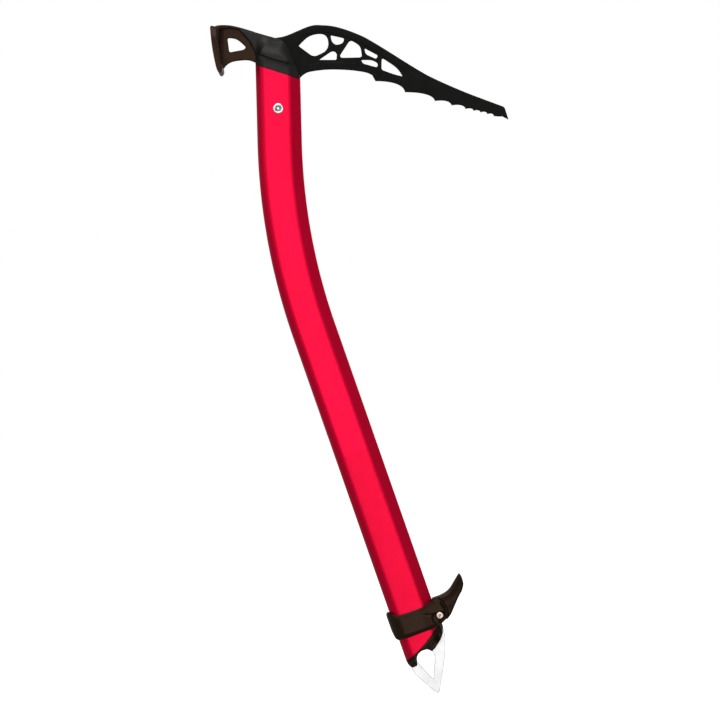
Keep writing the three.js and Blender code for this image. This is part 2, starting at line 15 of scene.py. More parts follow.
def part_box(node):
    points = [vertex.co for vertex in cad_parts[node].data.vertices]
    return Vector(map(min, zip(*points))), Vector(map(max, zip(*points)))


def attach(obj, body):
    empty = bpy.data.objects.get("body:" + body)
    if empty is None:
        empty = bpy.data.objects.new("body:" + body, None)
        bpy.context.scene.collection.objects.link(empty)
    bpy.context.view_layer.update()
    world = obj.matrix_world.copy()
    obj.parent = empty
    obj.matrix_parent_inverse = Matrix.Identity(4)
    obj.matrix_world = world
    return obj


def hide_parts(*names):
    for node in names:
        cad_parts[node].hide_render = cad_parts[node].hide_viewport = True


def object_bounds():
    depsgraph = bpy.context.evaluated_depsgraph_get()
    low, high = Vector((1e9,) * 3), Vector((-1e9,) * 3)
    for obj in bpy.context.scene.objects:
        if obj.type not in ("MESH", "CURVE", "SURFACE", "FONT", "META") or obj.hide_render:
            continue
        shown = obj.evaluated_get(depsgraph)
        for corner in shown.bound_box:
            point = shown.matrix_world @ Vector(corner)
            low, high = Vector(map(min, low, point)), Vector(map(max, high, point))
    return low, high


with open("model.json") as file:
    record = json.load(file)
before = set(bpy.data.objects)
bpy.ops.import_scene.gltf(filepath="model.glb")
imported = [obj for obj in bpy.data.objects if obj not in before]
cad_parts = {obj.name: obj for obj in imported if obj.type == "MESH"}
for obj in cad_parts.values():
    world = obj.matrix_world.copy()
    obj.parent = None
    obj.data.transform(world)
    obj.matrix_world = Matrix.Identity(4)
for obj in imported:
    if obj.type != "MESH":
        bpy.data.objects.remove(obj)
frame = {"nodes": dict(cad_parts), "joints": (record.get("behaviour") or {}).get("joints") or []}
cad_box = [list(corner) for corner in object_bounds()]

MM = 0.001
JOINTS = {joint["name"]: joint for joint in frame["joints"]}

# ---- Driving dimensions, in millimetres ----
SLIDE_AXIS = JOINTS["hand_rest_slide"]["axis"]
LOWER_LEAN = math.atan2(-SLIDE_AXIS[0], SLIDE_AXIS[2])
RIVET_LOW, RIVET_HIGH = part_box("head_rivet")
HEAD_X = (RIVET_LOW[0] + RIVET_HIGH[0]) / 2 / MM
HEAD_Z = (RIVET_LOW[2] + RIVET_HIGH[2]) / 2 / MM
HALF_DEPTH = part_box("shaft")[1][1] / MM
HALF_WIDTH = 15.8
WALL = 1.5
REAR_RADIUS = 7.0
BEVEL_START = 8.2
NOSE_HALF = 5.0
NOSE_RADIUS = 1.2
FACET_RADIUS = 6.0
CROWN = 0.5
BEND_START = 165.9
BEND_RADIUS = 437.4
BEND_TURN = math.radians(17.83)
UPPER_LEAN = LOWER_LEAN - BEND_TURN
AXIS_AT_RIVET = 0.3
COLLAR_HEIGHT = 25.9
COLLAR_SLOPE = -0.3146
GRIP_TOP = 74.0
PLATE_HALF = 2.0
SPIKE_HALF = 1.6
GAP = 0.3
EYE = (-2.0, -81.0)
EYE_RADIUS = 6.4
SCREW = (17.5, -54.6)
SCREW_SHANK = 1.5
NUT_RADIUS = 3.2
SEAT_FACE = 10.3
PIN = (0, -53.0)
PIN_RADIUS = 1.5
RIVET_SHANK = 2.5
# Cutters run to BEYOND, past every piece's side; a plate's half thickness stays above THINNEST.
BEYOND = 20.0
THINNEST = 0.06
FOOT_CUT = [(-15.8, -77.8), (-6, -74), (4.5, -68), (15.8, -59.6)]

HEAD = Matrix.Translation((HEAD_X * MM, 0, HEAD_Z * MM)) @ Matrix.Scale(MM, 4)
FOOT = Matrix.Rotation(-LOWER_LEAN, 4, "Y") @ Matrix.Scale(MM, 4)
WHOLE = Matrix.Scale(MM, 4)


# ---- Outlines: side views drawn as a pen draws them ----
class Outline:
    def __init__(self, x, z):
        self.points = [(x, z)]

    def line(self, *points):
        self.points += points
        return self

    def curve(self, control, end, steps=6):
        start = self.points[-1]
        for k in range(1, steps + 1):
            t = k / steps
            self.points.append(tuple(
                (1 - t) ** 2 * a + 2 * t * (1 - t) * b + t * t * c
                for a, b, c in zip(start, control, end)))
        return self

    def cubic(self, first, second, end, steps=12):
        start = self.points[-1]
        for k in range(1, steps + 1):
            t = k / steps
            self.points.append(tuple(
                (1 - t) ** 3 * a + 3 * t * (1 - t) ** 2 * b + 3 * t * t * (1 - t) * c + t ** 3 * d
                for a, b, c, d in zip(start, first, second, end)))
        return self

    def spline(self, *points, steps=10):
        run = [self.points[-1], *points]
        for index in range(len(run) - 1):
            before = run[max(index - 1, 0)]
            after = run[min(index + 2, len(run) - 1)]
            for k in range(1, steps + 1):
                self.points.append(tuple(
                    catmull(a, b, c, d, k / steps)
                    for a, b, c, d in zip(before, run[index], run[index + 1], after)))
        return self

    def arc(self, centre, radius, start, end, steps=24):
        for k in range(steps + 1):
            angle = math.radians(start + (end - start) * k / steps)
            self.points.append((centre[0] + radius * math.cos(angle), centre[1] + radius * math.sin(angle)))
        return self


def catmull(a, b, c, d, t):
    v0 = (c - a) / 2
    v1 = (d - b) / 2
    return (2 * b - 2 * c + v0 + v1) * t ** 3 + (-3 * b + 3 * c - 2 * v0 - v1) * t * t + v0 * t + b


def smooth(points):
    """A smooth line through all of the points."""
    return Outline(*points[0]).spline(*points[1:])


def rounded(corners, steps=8):
    """A closed outline through corners (x, z, r), each rounded off from r before it to r after it."""
    drawn = None
    for index, (x, z, reach) in enumerate(corners):
        ends = []
        for other in (corners[index - 1], corners[(index + 1) % len(corners)]):
            away = np.array(other[:2]) - (x, z)
            length = np.hypot(*away)
            ends.append(tuple(np.array((x, z)) + away * min(reach / length, 0.48)))
        if drawn is None:
            drawn = Outline(*ends[0])
        else:
            drawn.line(ends[0])
        drawn.curve((x, z), ends[1], steps)
    return drawn.points


def tidy_loop(points, step, clockwise):
    """The loop with near duplicates dropped, long stretches divided, and the wanted direction."""
    nearby = 0.02
    kept = []
    for point in points:
        if not kept or math.dist(kept[-1], point) > nearby:
            kept.append(tuple(point))
    if math.dist(kept[0], kept[-1]) < nearby:
        kept.pop()
    loop = []
    for a, b in zip(kept, kept[1:] + kept[:1]):
        parts = max(1, math.ceil(math.dist(a, b) / step))
        loop += [tuple(np.array(a) + (np.array(b) - a) * k / parts) for k in range(parts)]
    loop = np.array(loop)
    after = np.roll(loop, -1, axis=0)
    area = np.sum(loop[:, 0] * after[:, 1] - after[:, 0] * loop[:, 1]) / 2
    if (area > 0) == clockwise:
        loop = loop[::-1]
    return loop


def distance_to(points, loop, closed=True):
    """Distance from each point to a polyline, worked out in batches to save memory."""
    batch = 2000
    points = np.asarray(points, float)
    loop = np.asarray(loop, float)
    starts = loop if closed else loop[:-1]
    ends = np.roll(loop, -1, axis=0) if closed else loop[1:]
    nearest = np.full(len(points), 1e9)
    along = ends - starts
    square = np.maximum((along ** 2).sum(axis=1), 1e-12)
    for low in range(0, len(points), batch):
        part = points[low:low + batch]
        offset = part[:, None, :] - starts[None]
        share = np.clip((offset * along[None]).sum(axis=2) / square, 0, 1)
        gap = offset - share[..., None] * along[None]
        nearest[low:low + batch] = np.sqrt((gap ** 2).sum(axis=2).min(axis=1))
    return nearest


def inside(points, loops):
    """Even-odd test against a list of loops."""
    points = np.asarray(points, float)
    odd = np.zeros(len(points), bool)
    for loop in loops:
        x1, z1 = loop[:, 0], loop[:, 1]
        x2, z2 = np.roll(x1, -1), np.roll(z1, -1)
        crosses = (z1[None] > points[:, 1:2]) != (z2[None] > points[:, 1:2])
        rise = np.where(z2 == z1, 1e-12, z2 - z1)
        at = x1 + (points[:, 1:2] - z1[None]) * (x2 - x1) / rise
        odd ^= (np.sum(crosses & (points[:, 0:1] < at), axis=1) % 2).astype(bool)
    return odd


def rounding(depth, radius):
    """How much a rounded edge of that radius takes off at a depth in from it."""
    rest = np.maximum(radius - depth, 0)
    return radius - np.sqrt(np.maximum(radius ** 2 - rest ** 2, 0))


def fall(distance, reach):
    """Climbs from nothing at an edge to one at reach, steeply at first."""
    return np.sin(np.clip(distance / reach, 0, 1) * np.pi / 2) ** 0.8


def smoothstep(value, low, high):
    t = np.clip((value - low) / (high - low), 0, 1)
    return t * t * (3 - 2 * t)


# ---- Meshes ----
def make(name, verts, faces):
    mesh = bpy.data.meshes.new(name)
    mesh.from_pydata([tuple(v) for v in verts], [], [tuple(f) for f in faces])
    mesh.update()
    piece = bpy.data.objects.new(name, mesh)
    bpy.context.scene.collection.objects.link(piece)
    return piece


def pillow(name, outline, height, windows=(), rings=(0.3, 0.8), step=0.7, grid=None):
    """A closed body alike on both sides of its middle plane. height(x, z, depth) is half of its
    thickness, depth being the distance in from the nearest edge; rings are the depths at which
    rows of points follow the edges, and grid spaces the points between them."""
    loops = [tidy_loop(outline, step, clockwise=False)]
    loops += [tidy_loop(window, step, clockwise=True) for window in windows]
    points = list(loops)
    edges = []
    start = 0
    for loop in loops:
        count = len(loop)
        edges += [(start + k, start + (k + 1) % count) for k in range(count)]
        start += count

    def depth_of(spots):
        return np.min([distance_to(spots, loop) for loop in loops], axis=0)

    for ring in rings:
        for loop in loops:
            along = np.roll(loop, -1, axis=0) - np.roll(loop, 1, axis=0)
            along /= np.maximum(np.hypot(along[:, 0], along[:, 1]), 1e-9)[:, None]
            spots = loop + ring * np.column_stack([-along[:, 1], along[:, 0]])
            spots = spots[inside(spots, loops)]
            if len(spots):
                points.append(spots[depth_of(spots) > ring * 0.97])
    if grid:
        # Every other row is set over by half a step, for even triangles.
        low, high = loops[0].min(axis=0), loops[0].max(axis=0)
        rows = np.arange(low[1] + grid / 2, high[1], grid * 0.87)
        spots = np.array([
            (x + (grid / 2 if index % 2 else 0), z)
            for index, z in enumerate(rows) for x in np.arange(low[0] + grid / 3, high[0], grid)])
        spots = spots[inside(spots, loops)]
        points.append(spots[depth_of(spots) > max(rings) + grid * 0.45])
    flat = np.vstack([part for part in points if len(part)])
    spots, _, triangles, *_ = delaunay_2d_cdt([Vector(p) for p in flat], edges, [], 0, 1e-5)
    spots = np.array([tuple(p) for p in spots])
    triangles = np.array([t for t in triangles if len(t) == 3])
    centres = spots[triangles].mean(axis=1)
    triangles = triangles[inside(centres, loops)]
    a, b, c = spots[triangles[:, 0]], spots[triangles[:, 1]], spots[triangles[:, 2]]
    turn = (b[:, 0] - a[:, 0]) * (c[:, 1] - a[:, 1]) - (b[:, 1] - a[:, 1]) * (c[:, 0] - a[:, 0])
    triangles[turn < 0] = triangles[turn < 0][:, ::-1]
    triangles = triangles[np.abs(turn) > 1e-9]
    depth = depth_of(spots)
    depth[depth < 1e-3] = 0
    half = np.maximum(height(spots[:, 0], spots[:, 1], depth), THINNEST)
    count = len(spots)
    verts = np.vstack([
        np.column_stack([spots[:, 0], -half, spots[:, 1]]),
        np.column_stack([spots[:, 0], half, spots[:, 1]])])
    directed = {(t[k], t[(k + 1) % 3]) for t in triangles.tolist() for k in range(3)}
    border = [(p, q) for p, q in directed if (q, p) not in directed]
    faces = triangles.tolist()
    faces += (triangles[:, ::-1] + count).tolist()
    faces += [(q, p, p + count, q + count) for p, q in sorted(border)]
    return drop_loose(make(name, verts, faces))


def drop_loose(piece):
    work = bmesh.new()
    work.from_mesh(piece.data)
    loose = [v for v in work.verts if not v.link_faces]
    bmesh.ops.delete(work, geom=loose, context="VERTS")
    work.to_mesh(piece.data)
    work.free()
    return piece


def prism(name, outline, low, high, along="Y"):
    """A straight-sided solid: a side outline (x, z) along Y, or a plan outline (x, y) along Z."""
    loop = tidy_loop(outline, 1e9, clockwise=False)
    count = len(loop)
    if along == "Y":
        near = [(x, low, z) for x, z in loop]
        far = [(x, high, z) for x, z in loop]
    else:
        near = [(x, y, high) for x, y in loop]
        far = [(x, y, low) for x, y in loop]
    faces = [list(range(count)), list(range(2 * count - 1, count - 1, -1))]
    faces += [((k + 1) % count, k, k + count, (k + 1) % count + count) for k in range(count)]
    return make(name, near + far, faces)


def bore(name, centre, radius, low=-BEYOND, high=BEYOND):
    """A round cutter along Y through centre (x, z)."""
    circle = Outline(centre[0] + radius, centre[1]).arc(centre, radius, 0, 345, 23)
    return prism(name, circle.points, low, high)


def hexagon(name, centre, radius, low, high):
    """A six-sided bar along Y through centre, radius being the distance to a corner."""
    flats = Outline(centre[0] + radius, centre[1]).arc(centre, radius, 0, 300, 5)
    return prism(name, flats.points, low, high)


def lathe(name, profile, centre=(0, 0), steps=64):
    """A turned piece round a Y axis through centre (x, z): profile lists (radius, y)."""
    verts = []
    faces = []
    rows = len(profile)
    for k in range(steps):
        angle = 2 * math.pi * k / steps
        verts += [(centre[0] + r * math.cos(angle), y, centre[1] + r * math.sin(angle)) for r, y in profile]
    for k in range(steps):
        after = (k + 1) % steps
        for j in range(rows - 1):
            faces.append((k * rows + j, k * rows + j + 1, after * rows + j + 1, after * rows + j))
    piece = make(name, verts, faces)
    weld(piece, 1e-4)
    return piece


def weld(piece, distance):
    work = bmesh.new()
    work.from_mesh(piece.data)
    bmesh.ops.remove_doubles(work, verts=work.verts, dist=distance)
    bmesh.ops.recalc_face_normals(work, faces=work.faces)
    work.to_mesh(piece.data)
    work.free()


def apply_modifiers(piece):
    graph = bpy.context.evaluated_depsgraph_get()
    mesh = bpy.data.meshes.new_from_object(piece.evaluated_get(graph))
    piece.modifiers.clear()
    piece.data = mesh


def combine(piece, other, operation):
    """Joins or cuts piece with a helper solid, which is then thrown away."""
    tool = piece.modifiers.new("fit", "BOOLEAN")
    tool.operation = operation
    tool.solver = "MANIFOLD"
    tool.object = other
    apply_modifiers(piece)
    bpy.data.objects.remove(other)
    return piece


def soften(piece, width, segments, angle):
    """Rounds the sharp edges of a helper solid."""
    tool = piece.modifiers.new("soften", "BEVEL")
    tool.width = width
    tool.segments = segments
    tool.limit_method = "ANGLE"
    tool.angle_limit = math.radians(angle)
    tool.use_clamp_overlap = True
    apply_modifiers(piece)


def finish_piece(piece, matrix, body, nodes, slot, sharp):
    """Places a piece, shades it smooth up to an angle in degrees, gives it its slot's material, ties it to
    its body and hides the CAD nodes that it replaces."""
    piece.data.transform(matrix)
    piece.data.shade_smooth()
    piece.data.set_sharp_from_angle(angle=math.radians(sharp))
    piece.data.materials.clear()
    piece.data.materials.append(FINISH[slot])
    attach(piece, body)
    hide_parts(*nodes)
    return piece


# ---- Materials ----
def linear(code):
    """sRGB hex to linear RGBA."""
    channels = [int(code[k:k + 2], 16) / 255 for k in (1, 3, 5)]
    return [c / 12.92 if c <= 0.04045 else ((c + 0.055) / 1.055) ** 2.4 for c in channels] + [1]


def add(tree, kind, settings=(), **inputs):
    """Adds a node with its settings. An input is a value, or a socket to link from."""
    node = tree.nodes.new(kind)
    for key, value in dict(settings).items():
        setattr(node, key, value)
    for key, value in inputs.items():
        socket = node.inputs[int(key[1:])] if key[1:].isdigit() else node.inputs[key.replace("_", " ")]
        if isinstance(value, bpy.types.NodeSocket):
            tree.links.new(value, socket)
        else:
            socket.default_value = value
    return node


def new_material(name):
    """A material with the shared coordinates: metres, in the frame of the whole object."""
    material = bpy.data.materials.new(name)
    material.use_nodes = True
    tree = material.node_tree
    tree.nodes.clear()
    return material, tree, add(tree, "ShaderNodeTexCoord").outputs["Object"]


def edge_wear(tree, reach_mm):
    """High along convex edges, where the normal rounded over reach_mm turns from the true one."""
    bevel = add(tree, "ShaderNodeBevel", {"samples": 6}, Radius=reach_mm * MM)
    true = add(tree, "ShaderNodeNewGeometry")
    turn = add(tree, "ShaderNodeVectorMath", {"operation": "DOT_PRODUCT"}, i0=bevel.outputs[0],
               i1=true.outputs["Normal"])
    return add(tree, "ShaderNodeMapRange", Value=turn.outputs["Value"], From_Min=0.80, From_Max=0.995,
               To_Min=1.0, To_Max=0.0).outputs[0]


def anodised_aluminium():
    """Anodised aluminium tube, drawn, brushed along its length and dyed red. The dye sits in the
    oxide, so the metal's own reflection is coloured and only a thin clear layer glints white. The
    grip end was bead blasted first, which leaves it duller with a fine pebbled grain. Brush lines
    and grains are drawn about twice their real size, to show."""
    material, tree, where = new_material("anodised_aluminium")
    uv = add(tree, "ShaderNodeUVMap").outputs[0]
    along = add(tree, "ShaderNodeSeparateXYZ", Vector=uv).outputs["Y"]
    grip = add(tree, "ShaderNodeMapRange", Value=along, From_Min=(GRIP_TOP - 0.4) * MM,
               From_Max=(GRIP_TOP + 0.8) * MM, To_Min=1.0, To_Max=0.0).outputs[0]
    brushed = add(tree, "ShaderNodeMapping", Vector=uv, Scale=(1, 0.02, 1)).outputs[0]
    streaks = add(tree, "ShaderNodeTexNoise", Vector=brushed, Scale=1 / (0.35 * MM), Detail=4,
                  Roughness=0.6).outputs["Fac"]
    grains = add(tree, "ShaderNodeTexNoise", Vector=where, Scale=1 / (0.25 * MM), Detail=2).outputs["Fac"]
    clouds = add(tree, "ShaderNodeTexNoise", Vector=where, Scale=1 / (45 * MM), Detail=3).outputs["Fac"]
    scuffs = add(tree, "ShaderNodeTexNoise", Vector=where, Scale=1 / (6 * MM), Detail=5,
                 Roughness=0.7).outputs["Fac"]
    tone = add(tree, "ShaderNodeMapRange", Value=clouds, From_Min=0.3, From_Max=0.7).outputs[0]
    dye = add(tree, "ShaderNodeMix", {"data_type": "RGBA"}, i0=tone, i6=linear("#F0003C"),
              i7=linear("#E60037")).outputs[2]
    dye = add(tree, "ShaderNodeMix", {"data_type": "RGBA"}, i0=grip, i6=dye,
              i7=linear("#E20036")).outputs[2]
    polished = add(tree, "ShaderNodeMapRange", Value=streaks, From_Min=0.3, From_Max=0.7, To_Min=0.40,
                   To_Max=0.46).outputs[0]
    blasted = add(tree, "ShaderNodeMapRange", Value=scuffs, From_Min=0.3, From_Max=0.7, To_Min=0.44,
                  To_Max=0.49).outputs[0]
    roughness = add(tree, "ShaderNodeMix", i0=grip, i2=polished, i3=blasted).outputs[0]
    texture = add(tree, "ShaderNodeMix", i0=grip, i2=streaks, i3=grains).outputs[0]
    normal = add(tree, "ShaderNodeBump", Height=texture, Distance=0.012 * MM, Strength=0.5).outputs[0]
    shader = add(tree, "ShaderNodeBsdfPrincipled", Base_Color=dye, Roughness=roughness, Normal=normal,
                 Metallic=0.92, Coat_Weight=0.05, Coat_Roughness=0.25)
    add(tree, "ShaderNodeOutputMaterial", Surface=shader.outputs[0])
    return material


def coated_steel(name, dark, light, rough, worn, gloss, tint):
    """Forged steel, shot blasted and black coated. The coating follows the blasted grain, so it has
    a soft broken gloss, and it rubs thin to a greyer shade along sharp edges. The grain is drawn at
    0.45 mm, coarser than grit blasting leaves, to show."""
    material, tree, where = new_material(name)
    grain = add(tree, "ShaderNodeTexNoise", Vector=where, Scale=1 / (0.45 * MM), Detail=4,
                Roughness=0.6).outputs["Fac"]
    patches = add(tree, "ShaderNodeTexNoise", Vector=where, Scale=1 / (11 * MM), Detail=3).outputs["Fac"]
    scuffs = add(tree, "ShaderNodeTexNoise", Vector=where, Scale=1 / (1.6 * MM), Detail=4,
                 Roughness=0.7).outputs["Fac"]
    tone = add(tree, "ShaderNodeMapRange", Value=patches, From_Min=0.3, From_Max=0.7).outputs[0]
    colour = add(tree, "ShaderNodeMix", {"data_type": "RGBA"}, i0=tone, i6=linear(dark),
                 i7=linear(light)).outputs[2]
    broken = add(tree, "ShaderNodeMapRange", Value=scuffs, From_Min=0.42, From_Max=0.70, To_Min=0.0,
                 To_Max=0.5).outputs[0]
    rubbed = add(tree, "ShaderNodeMath", {"operation": "MULTIPLY"}, i0=edge_wear(tree, 0.35),
                 i1=broken).outputs[0]
    colour = add(tree, "ShaderNodeMix", {"data_type": "RGBA"}, i0=rubbed, i6=colour,
                 i7=linear(worn)).outputs[2]
    roughness = add(tree, "ShaderNodeMapRange", Value=grain, From_Min=0.3, From_Max=0.7,
                    To_Min=rough - 0.06, To_Max=rough + 0.08).outputs[0]
    normal = add(tree, "ShaderNodeBump", Height=grain, Distance=0.03 * MM, Strength=0.5).outputs[0]
    shader = add(tree, "ShaderNodeBsdfPrincipled", Base_Color=colour, Roughness=roughness,
                 Normal=normal, Specular_IOR_Level=gloss, Specular_Tint=tint)
    add(tree, "ShaderNodeOutputMaterial", Surface=shader.outputs[0])
    return material


def moulded_nylon(name, dark, light, rough, gloss, tint):
    """Glass filled nylon moulded in a spark eroded tool: a fine even grain, faint flow marks, and a
    low sheen that rises where hands have rubbed the edges."""
    material, tree, where = new_material(name)
    grain = add(tree, "ShaderNodeTexNoise", Vector=where, Scale=1 / (0.4 * MM), Detail=2).outputs["Fac"]
    flow = add(tree, "ShaderNodeTexNoise", Vector=where, Scale=1 / (9 * MM), Detail=3).outputs["Fac"]
    tone = add(tree, "ShaderNodeMapRange", Value=flow, From_Min=0.3, From_Max=0.7).outputs[0]
    colour = add(tree, "ShaderNodeMix", {"data_type": "RGBA"}, i0=tone, i6=linear(dark),
                 i7=linear(light)).outputs[2]
    base = add(tree, "ShaderNodeMapRange", Value=grain, From_Min=0.3, From_Max=0.7,
               To_Min=rough - 0.04, To_Max=rough + 0.06).outputs[0]
    roughness = add(tree, "ShaderNodeMath", {"operation": "MULTIPLY_ADD"}, i0=edge_wear(tree, 0.5),
                    i1=-0.10, i2=base).outputs[0]
    normal = add(tree, "ShaderNodeBump", Height=grain, Distance=0.035 * MM, Strength=0.5).outputs[0]
    shader = add(tree, "ShaderNodeBsdfPrincipled", Base_Color=colour, Roughness=roughness,
                 Normal=normal, Specular_IOR_Level=gloss, Specular_Tint=tint)
    add(tree, "ShaderNodeOutputMaterial", Surface=shader.outputs[0])
    return material


def stainless_steel(name, first, second, rough, depth_mm):
    """Stainless steel. Blasting leaves it pale and even with a grain depth_mm deep; turning leaves
    it brighter and smoother. Handling dulls it in small patches."""
    material, tree, where = new_material(name)
    grain = add(tree, "ShaderNodeTexNoise", Vector=where, Scale=1 / (0.3 * MM), Detail=4,
                Roughness=0.6).outputs["Fac"]
    patches = add(tree, "ShaderNodeTexNoise", Vector=where, Scale=1 / (5 * MM), Detail=3).outputs["Fac"]
    tone = add(tree, "ShaderNodeMapRange", Value=patches, From_Min=0.3, From_Max=0.7).outputs[0]
    colour = add(tree, "ShaderNodeMix", {"data_type": "RGBA"}, i0=tone, i6=linear(first),
                 i7=linear(second)).outputs[2]
    roughness = add(tree, "ShaderNodeMapRange", Value=grain, From_Min=0.3, From_Max=0.7,
                    To_Min=rough - 0.05, To_Max=rough + 0.08).outputs[0]
    normal = add(tree, "ShaderNodeBump", Height=grain, Distance=depth_mm * MM, Strength=0.5).outputs[0]
    shader = add(tree, "ShaderNodeBsdfPrincipled", Base_Color=colour, Roughness=roughness,
                 Normal=normal, Metallic=1.0)
    add(tree, "ShaderNodeOutputMaterial", Surface=shader.outputs[0])
    return material


WARM = linear("#FFC9A8")
NEUTRAL = linear("#FFFFFF")
FINISH = {
    "anodised_aluminium": anodised_aluminium(),
    "pick_steel": coated_steel("black_coated_steel", "#0E0F0C", "#151611", 0.42, "#302F2C", 0.05, NEUTRAL),
    "adze_steel": coated_steel("brown_black_coated_steel", "#1C120E", "#251812", 0.34, "#52443A", 0.19,
                               WARM),
    "hood_nylon": moulded_nylon("moulded_nylon_hood", "#1A1817", "#211F1D", 0.42, 0.19, NEUTRAL),
    "plug_nylon": moulded_nylon("moulded_nylon_plug", "#17110C", "#1E1610", 0.36, 0.22, WARM),
    "rest_nylon": moulded_nylon("moulded_nylon_hand_rest", "#1A120D", "#241911", 0.34, 0.20, WARM),
    "spike_stainless": stainless_steel("blasted_stainless_steel", "#E2E2E3", "#D9D9DA", 0.42, 0.02),
    "screw_stainless": stainless_steel("turned_stainless_steel", "#D6C6BE", "#C6B7AF", 0.30, 0.01),
    "rivet_steel": stainless_steel("bright_stainless_steel", "#E8E8E6", "#D5D8D6", 0.25, 0.01),
}


# ---- Shaft ----
def arc_corner(before, corner, after, radius, steps):
    """Points of a true fillet of that radius at a corner."""
    before, corner, after = (np.array(p, float) for p in (before, corner, after))
    one = (before - corner) / np.hypot(*(before - corner))
    two = (after - corner) / np.hypot(*(after - corner))
    half = math.acos(np.clip(one @ two, -1, 1)) / 2
    middle = (one + two) / np.hypot(*(one + two))
    centre = corner + middle * radius / math.sin(half)
    start = corner + one * radius / math.tan(half) - centre
    end = corner + two * radius / math.tan(half) - centre
    sweep = math.atan2(start[0] * end[1] - start[1] * end[0], start @ end)
    points = []
    for k in range(steps + 1):
        a = sweep * k / steps
        turn = np.array([[math.cos(a), -math.sin(a)], [math.sin(a), math.cos(a)]])
        points.append(tuple(centre + turn @ start))
    return points


def shaft_section(inset=0.0):
    """The tube's section (forward, sideways), drawn in by inset: a round rear, crowned side faces and
    a facet on each side of a narrow front."""
    slant = math.atan2(HALF_DEPTH - NOSE_HALF, HALF_WIDTH - BEVEL_START)
    width, depth = HALF_WIDTH - inset, HALF_DEPTH - inset
    side = BEVEL_START - inset * math.tan(slant / 2)
    nose = NOSE_HALF - inset * math.tan((math.pi / 2 - slant) / 2)
    corners = [
        (width, -nose, NOSE_RADIUS, 4), (width, nose, NOSE_RADIUS, 4), (side, depth, FACET_RADIUS, 8),
        (-width, depth, REAR_RADIUS - inset, 18), (-width, -depth, REAR_RADIUS - inset, 18),
        (side, -depth, FACET_RADIUS, 8),
    ]
    points = []
    for index, (x, y, radius, steps) in enumerate(corners):
        before = corners[index - 1][:2]
        after = corners[(index + 1) % len(corners)][:2]
        points += arc_corner(before, (x, y), after, radius, steps)
    loop = []
    for start, end in zip(points, points[1:] + points[:1]):
        parts = 6 if math.dist(start, end) > 5 else 1
        loop += [tuple(np.array(start) + (np.array(end) - start) * k / parts) for k in range(parts)]
    loop = np.array(loop)
    crown = CROWN * (loop[:, 0] / HALF_WIDTH) ** 2
    loop[:, 1] -= np.sign(loop[:, 1]) * crown * np.minimum(np.abs(loop[:, 1]) / depth, 1) ** 2
    return loop


def half_depth_at(forward):
    """Half of the shaft's depth at a distance forward of its axis."""
    loop = shaft_section()
    upper = loop[loop[:, 1] > 0]
    upper = upper[np.argsort(upper[:, 0])]
    return np.interp(forward, upper[:, 0], upper[:, 1])


def shaft_axis(along):
    """Point and lean of the shaft's axis at a length up from the origin, in millimetres."""
    bend = BEND_RADIUS * BEND_TURN
    straight = min(along, BEND_START)
    turned = min(max(along - BEND_START, 0), bend) / BEND_RADIUS
    rest = max(along - BEND_START - bend, 0)
    lean = LOWER_LEAN - turned
    x = (-straight * math.sin(LOWER_LEAN) - BEND_RADIUS * (math.cos(lean) - math.cos(LOWER_LEAN))
         - rest * math.sin(lean))
    z = (straight * math.cos(LOWER_LEAN) + BEND_RADIUS * (math.sin(LOWER_LEAN) - math.sin(lean))
         + rest * math.cos(lean))
    return x, z, lean


def foot_cut_at(forward):
    """Length along the axis where the shaft's slanted foot lies, forward of the axis."""
    line = np.array(smooth(FOOT_CUT).points)
    return np.interp(forward, line[:, 0], line[:, 1])


def length_at_rivet():
    """Length along the axis at the height of the head rivet."""
    bend_end = BEND_START + BEND_RADIUS * BEND_TURN
    return bend_end + (HEAD_Z - shaft_axis(bend_end)[1]) / math.cos(UPPER_LEAN)


def collar_length_at(forward):
    """Length along the axis where the shaft's slanted upper end lies, forward of the axis."""
    lean_sin, lean_cos = math.sin(UPPER_LEAN), math.cos(UPPER_LEAN)
    rise = COLLAR_HEIGHT + COLLAR_SLOPE * AXIS_AT_RIVET
    height = (rise - forward * (lean_sin - COLLAR_SLOPE * lean_cos)) / (lean_cos + COLLAR_SLOPE * lean_sin)
    return length_at_rivet() + height


def build_shaft():
    """Rings of points run up the outside, over a chamfered rim, down the bore and back to the start."""
    rim = 0.25
    outer = shaft_section()
    chamfered = shaft_section(rim)
    bored = shaft_section(WALL)
    outer_rings = 110
    inner_rings = 40
    verts = []
    uvs = []
    steps = np.hypot(*(np.roll(outer, -1, axis=0) - outer).T)
    perimeter = np.concatenate([[0], np.cumsum(steps)[:-1]])
    rows = []
    for shares, skin, pull in (
            (np.linspace(0, 1, outer_rings), outer, rim), ([1.0], chamfered, 0.0),
            (np.linspace(1, 0, inner_rings), bored, 0.05), ([0.0], chamfered, 0.0)):
        for share in shares:
            rows.append((share, skin, pull))
    for share, skin, pull in rows:
        low = foot_cut_at(skin[:, 0]) + pull
        high = np.array([collar_length_at(u) for u in skin[:, 0]]) - pull
        spans = low + (high - low) * share
        for (forward, side), length, around in zip(skin, spans, perimeter[:len(skin)]):
            x, z, lean = shaft_axis(length)
            verts.append((x + forward * math.cos(lean), side, z + forward * math.sin(lean)))
            uvs.append((around * MM, length * MM))
    count = len(outer)
    faces = []
    for row in range(len(rows)):
        after = (row + 1) % len(rows)
        for k in range(count):
            nxt = (k + 1) % count
            faces.append((row * count + k, row * count + nxt, after * count + nxt, after * count + k))
    piece = make("shaft_tube", verts, faces)
    layer = piece.data.uv_layers.new(name="along_shaft")
    total = float(np.sum(steps)) * MM
    for face in piece.data.polygons:
        wraps = any(piece.data.loops[k].vertex_index % count == count - 1 for k in face.loop_indices)
        for k in face.loop_indices:
            index = piece.data.loops[k].vertex_index
            u, v = uvs[index]
            if wraps and index % count == 0:
                u += total
            layer.data[k].uv = (u, v)
    return piece


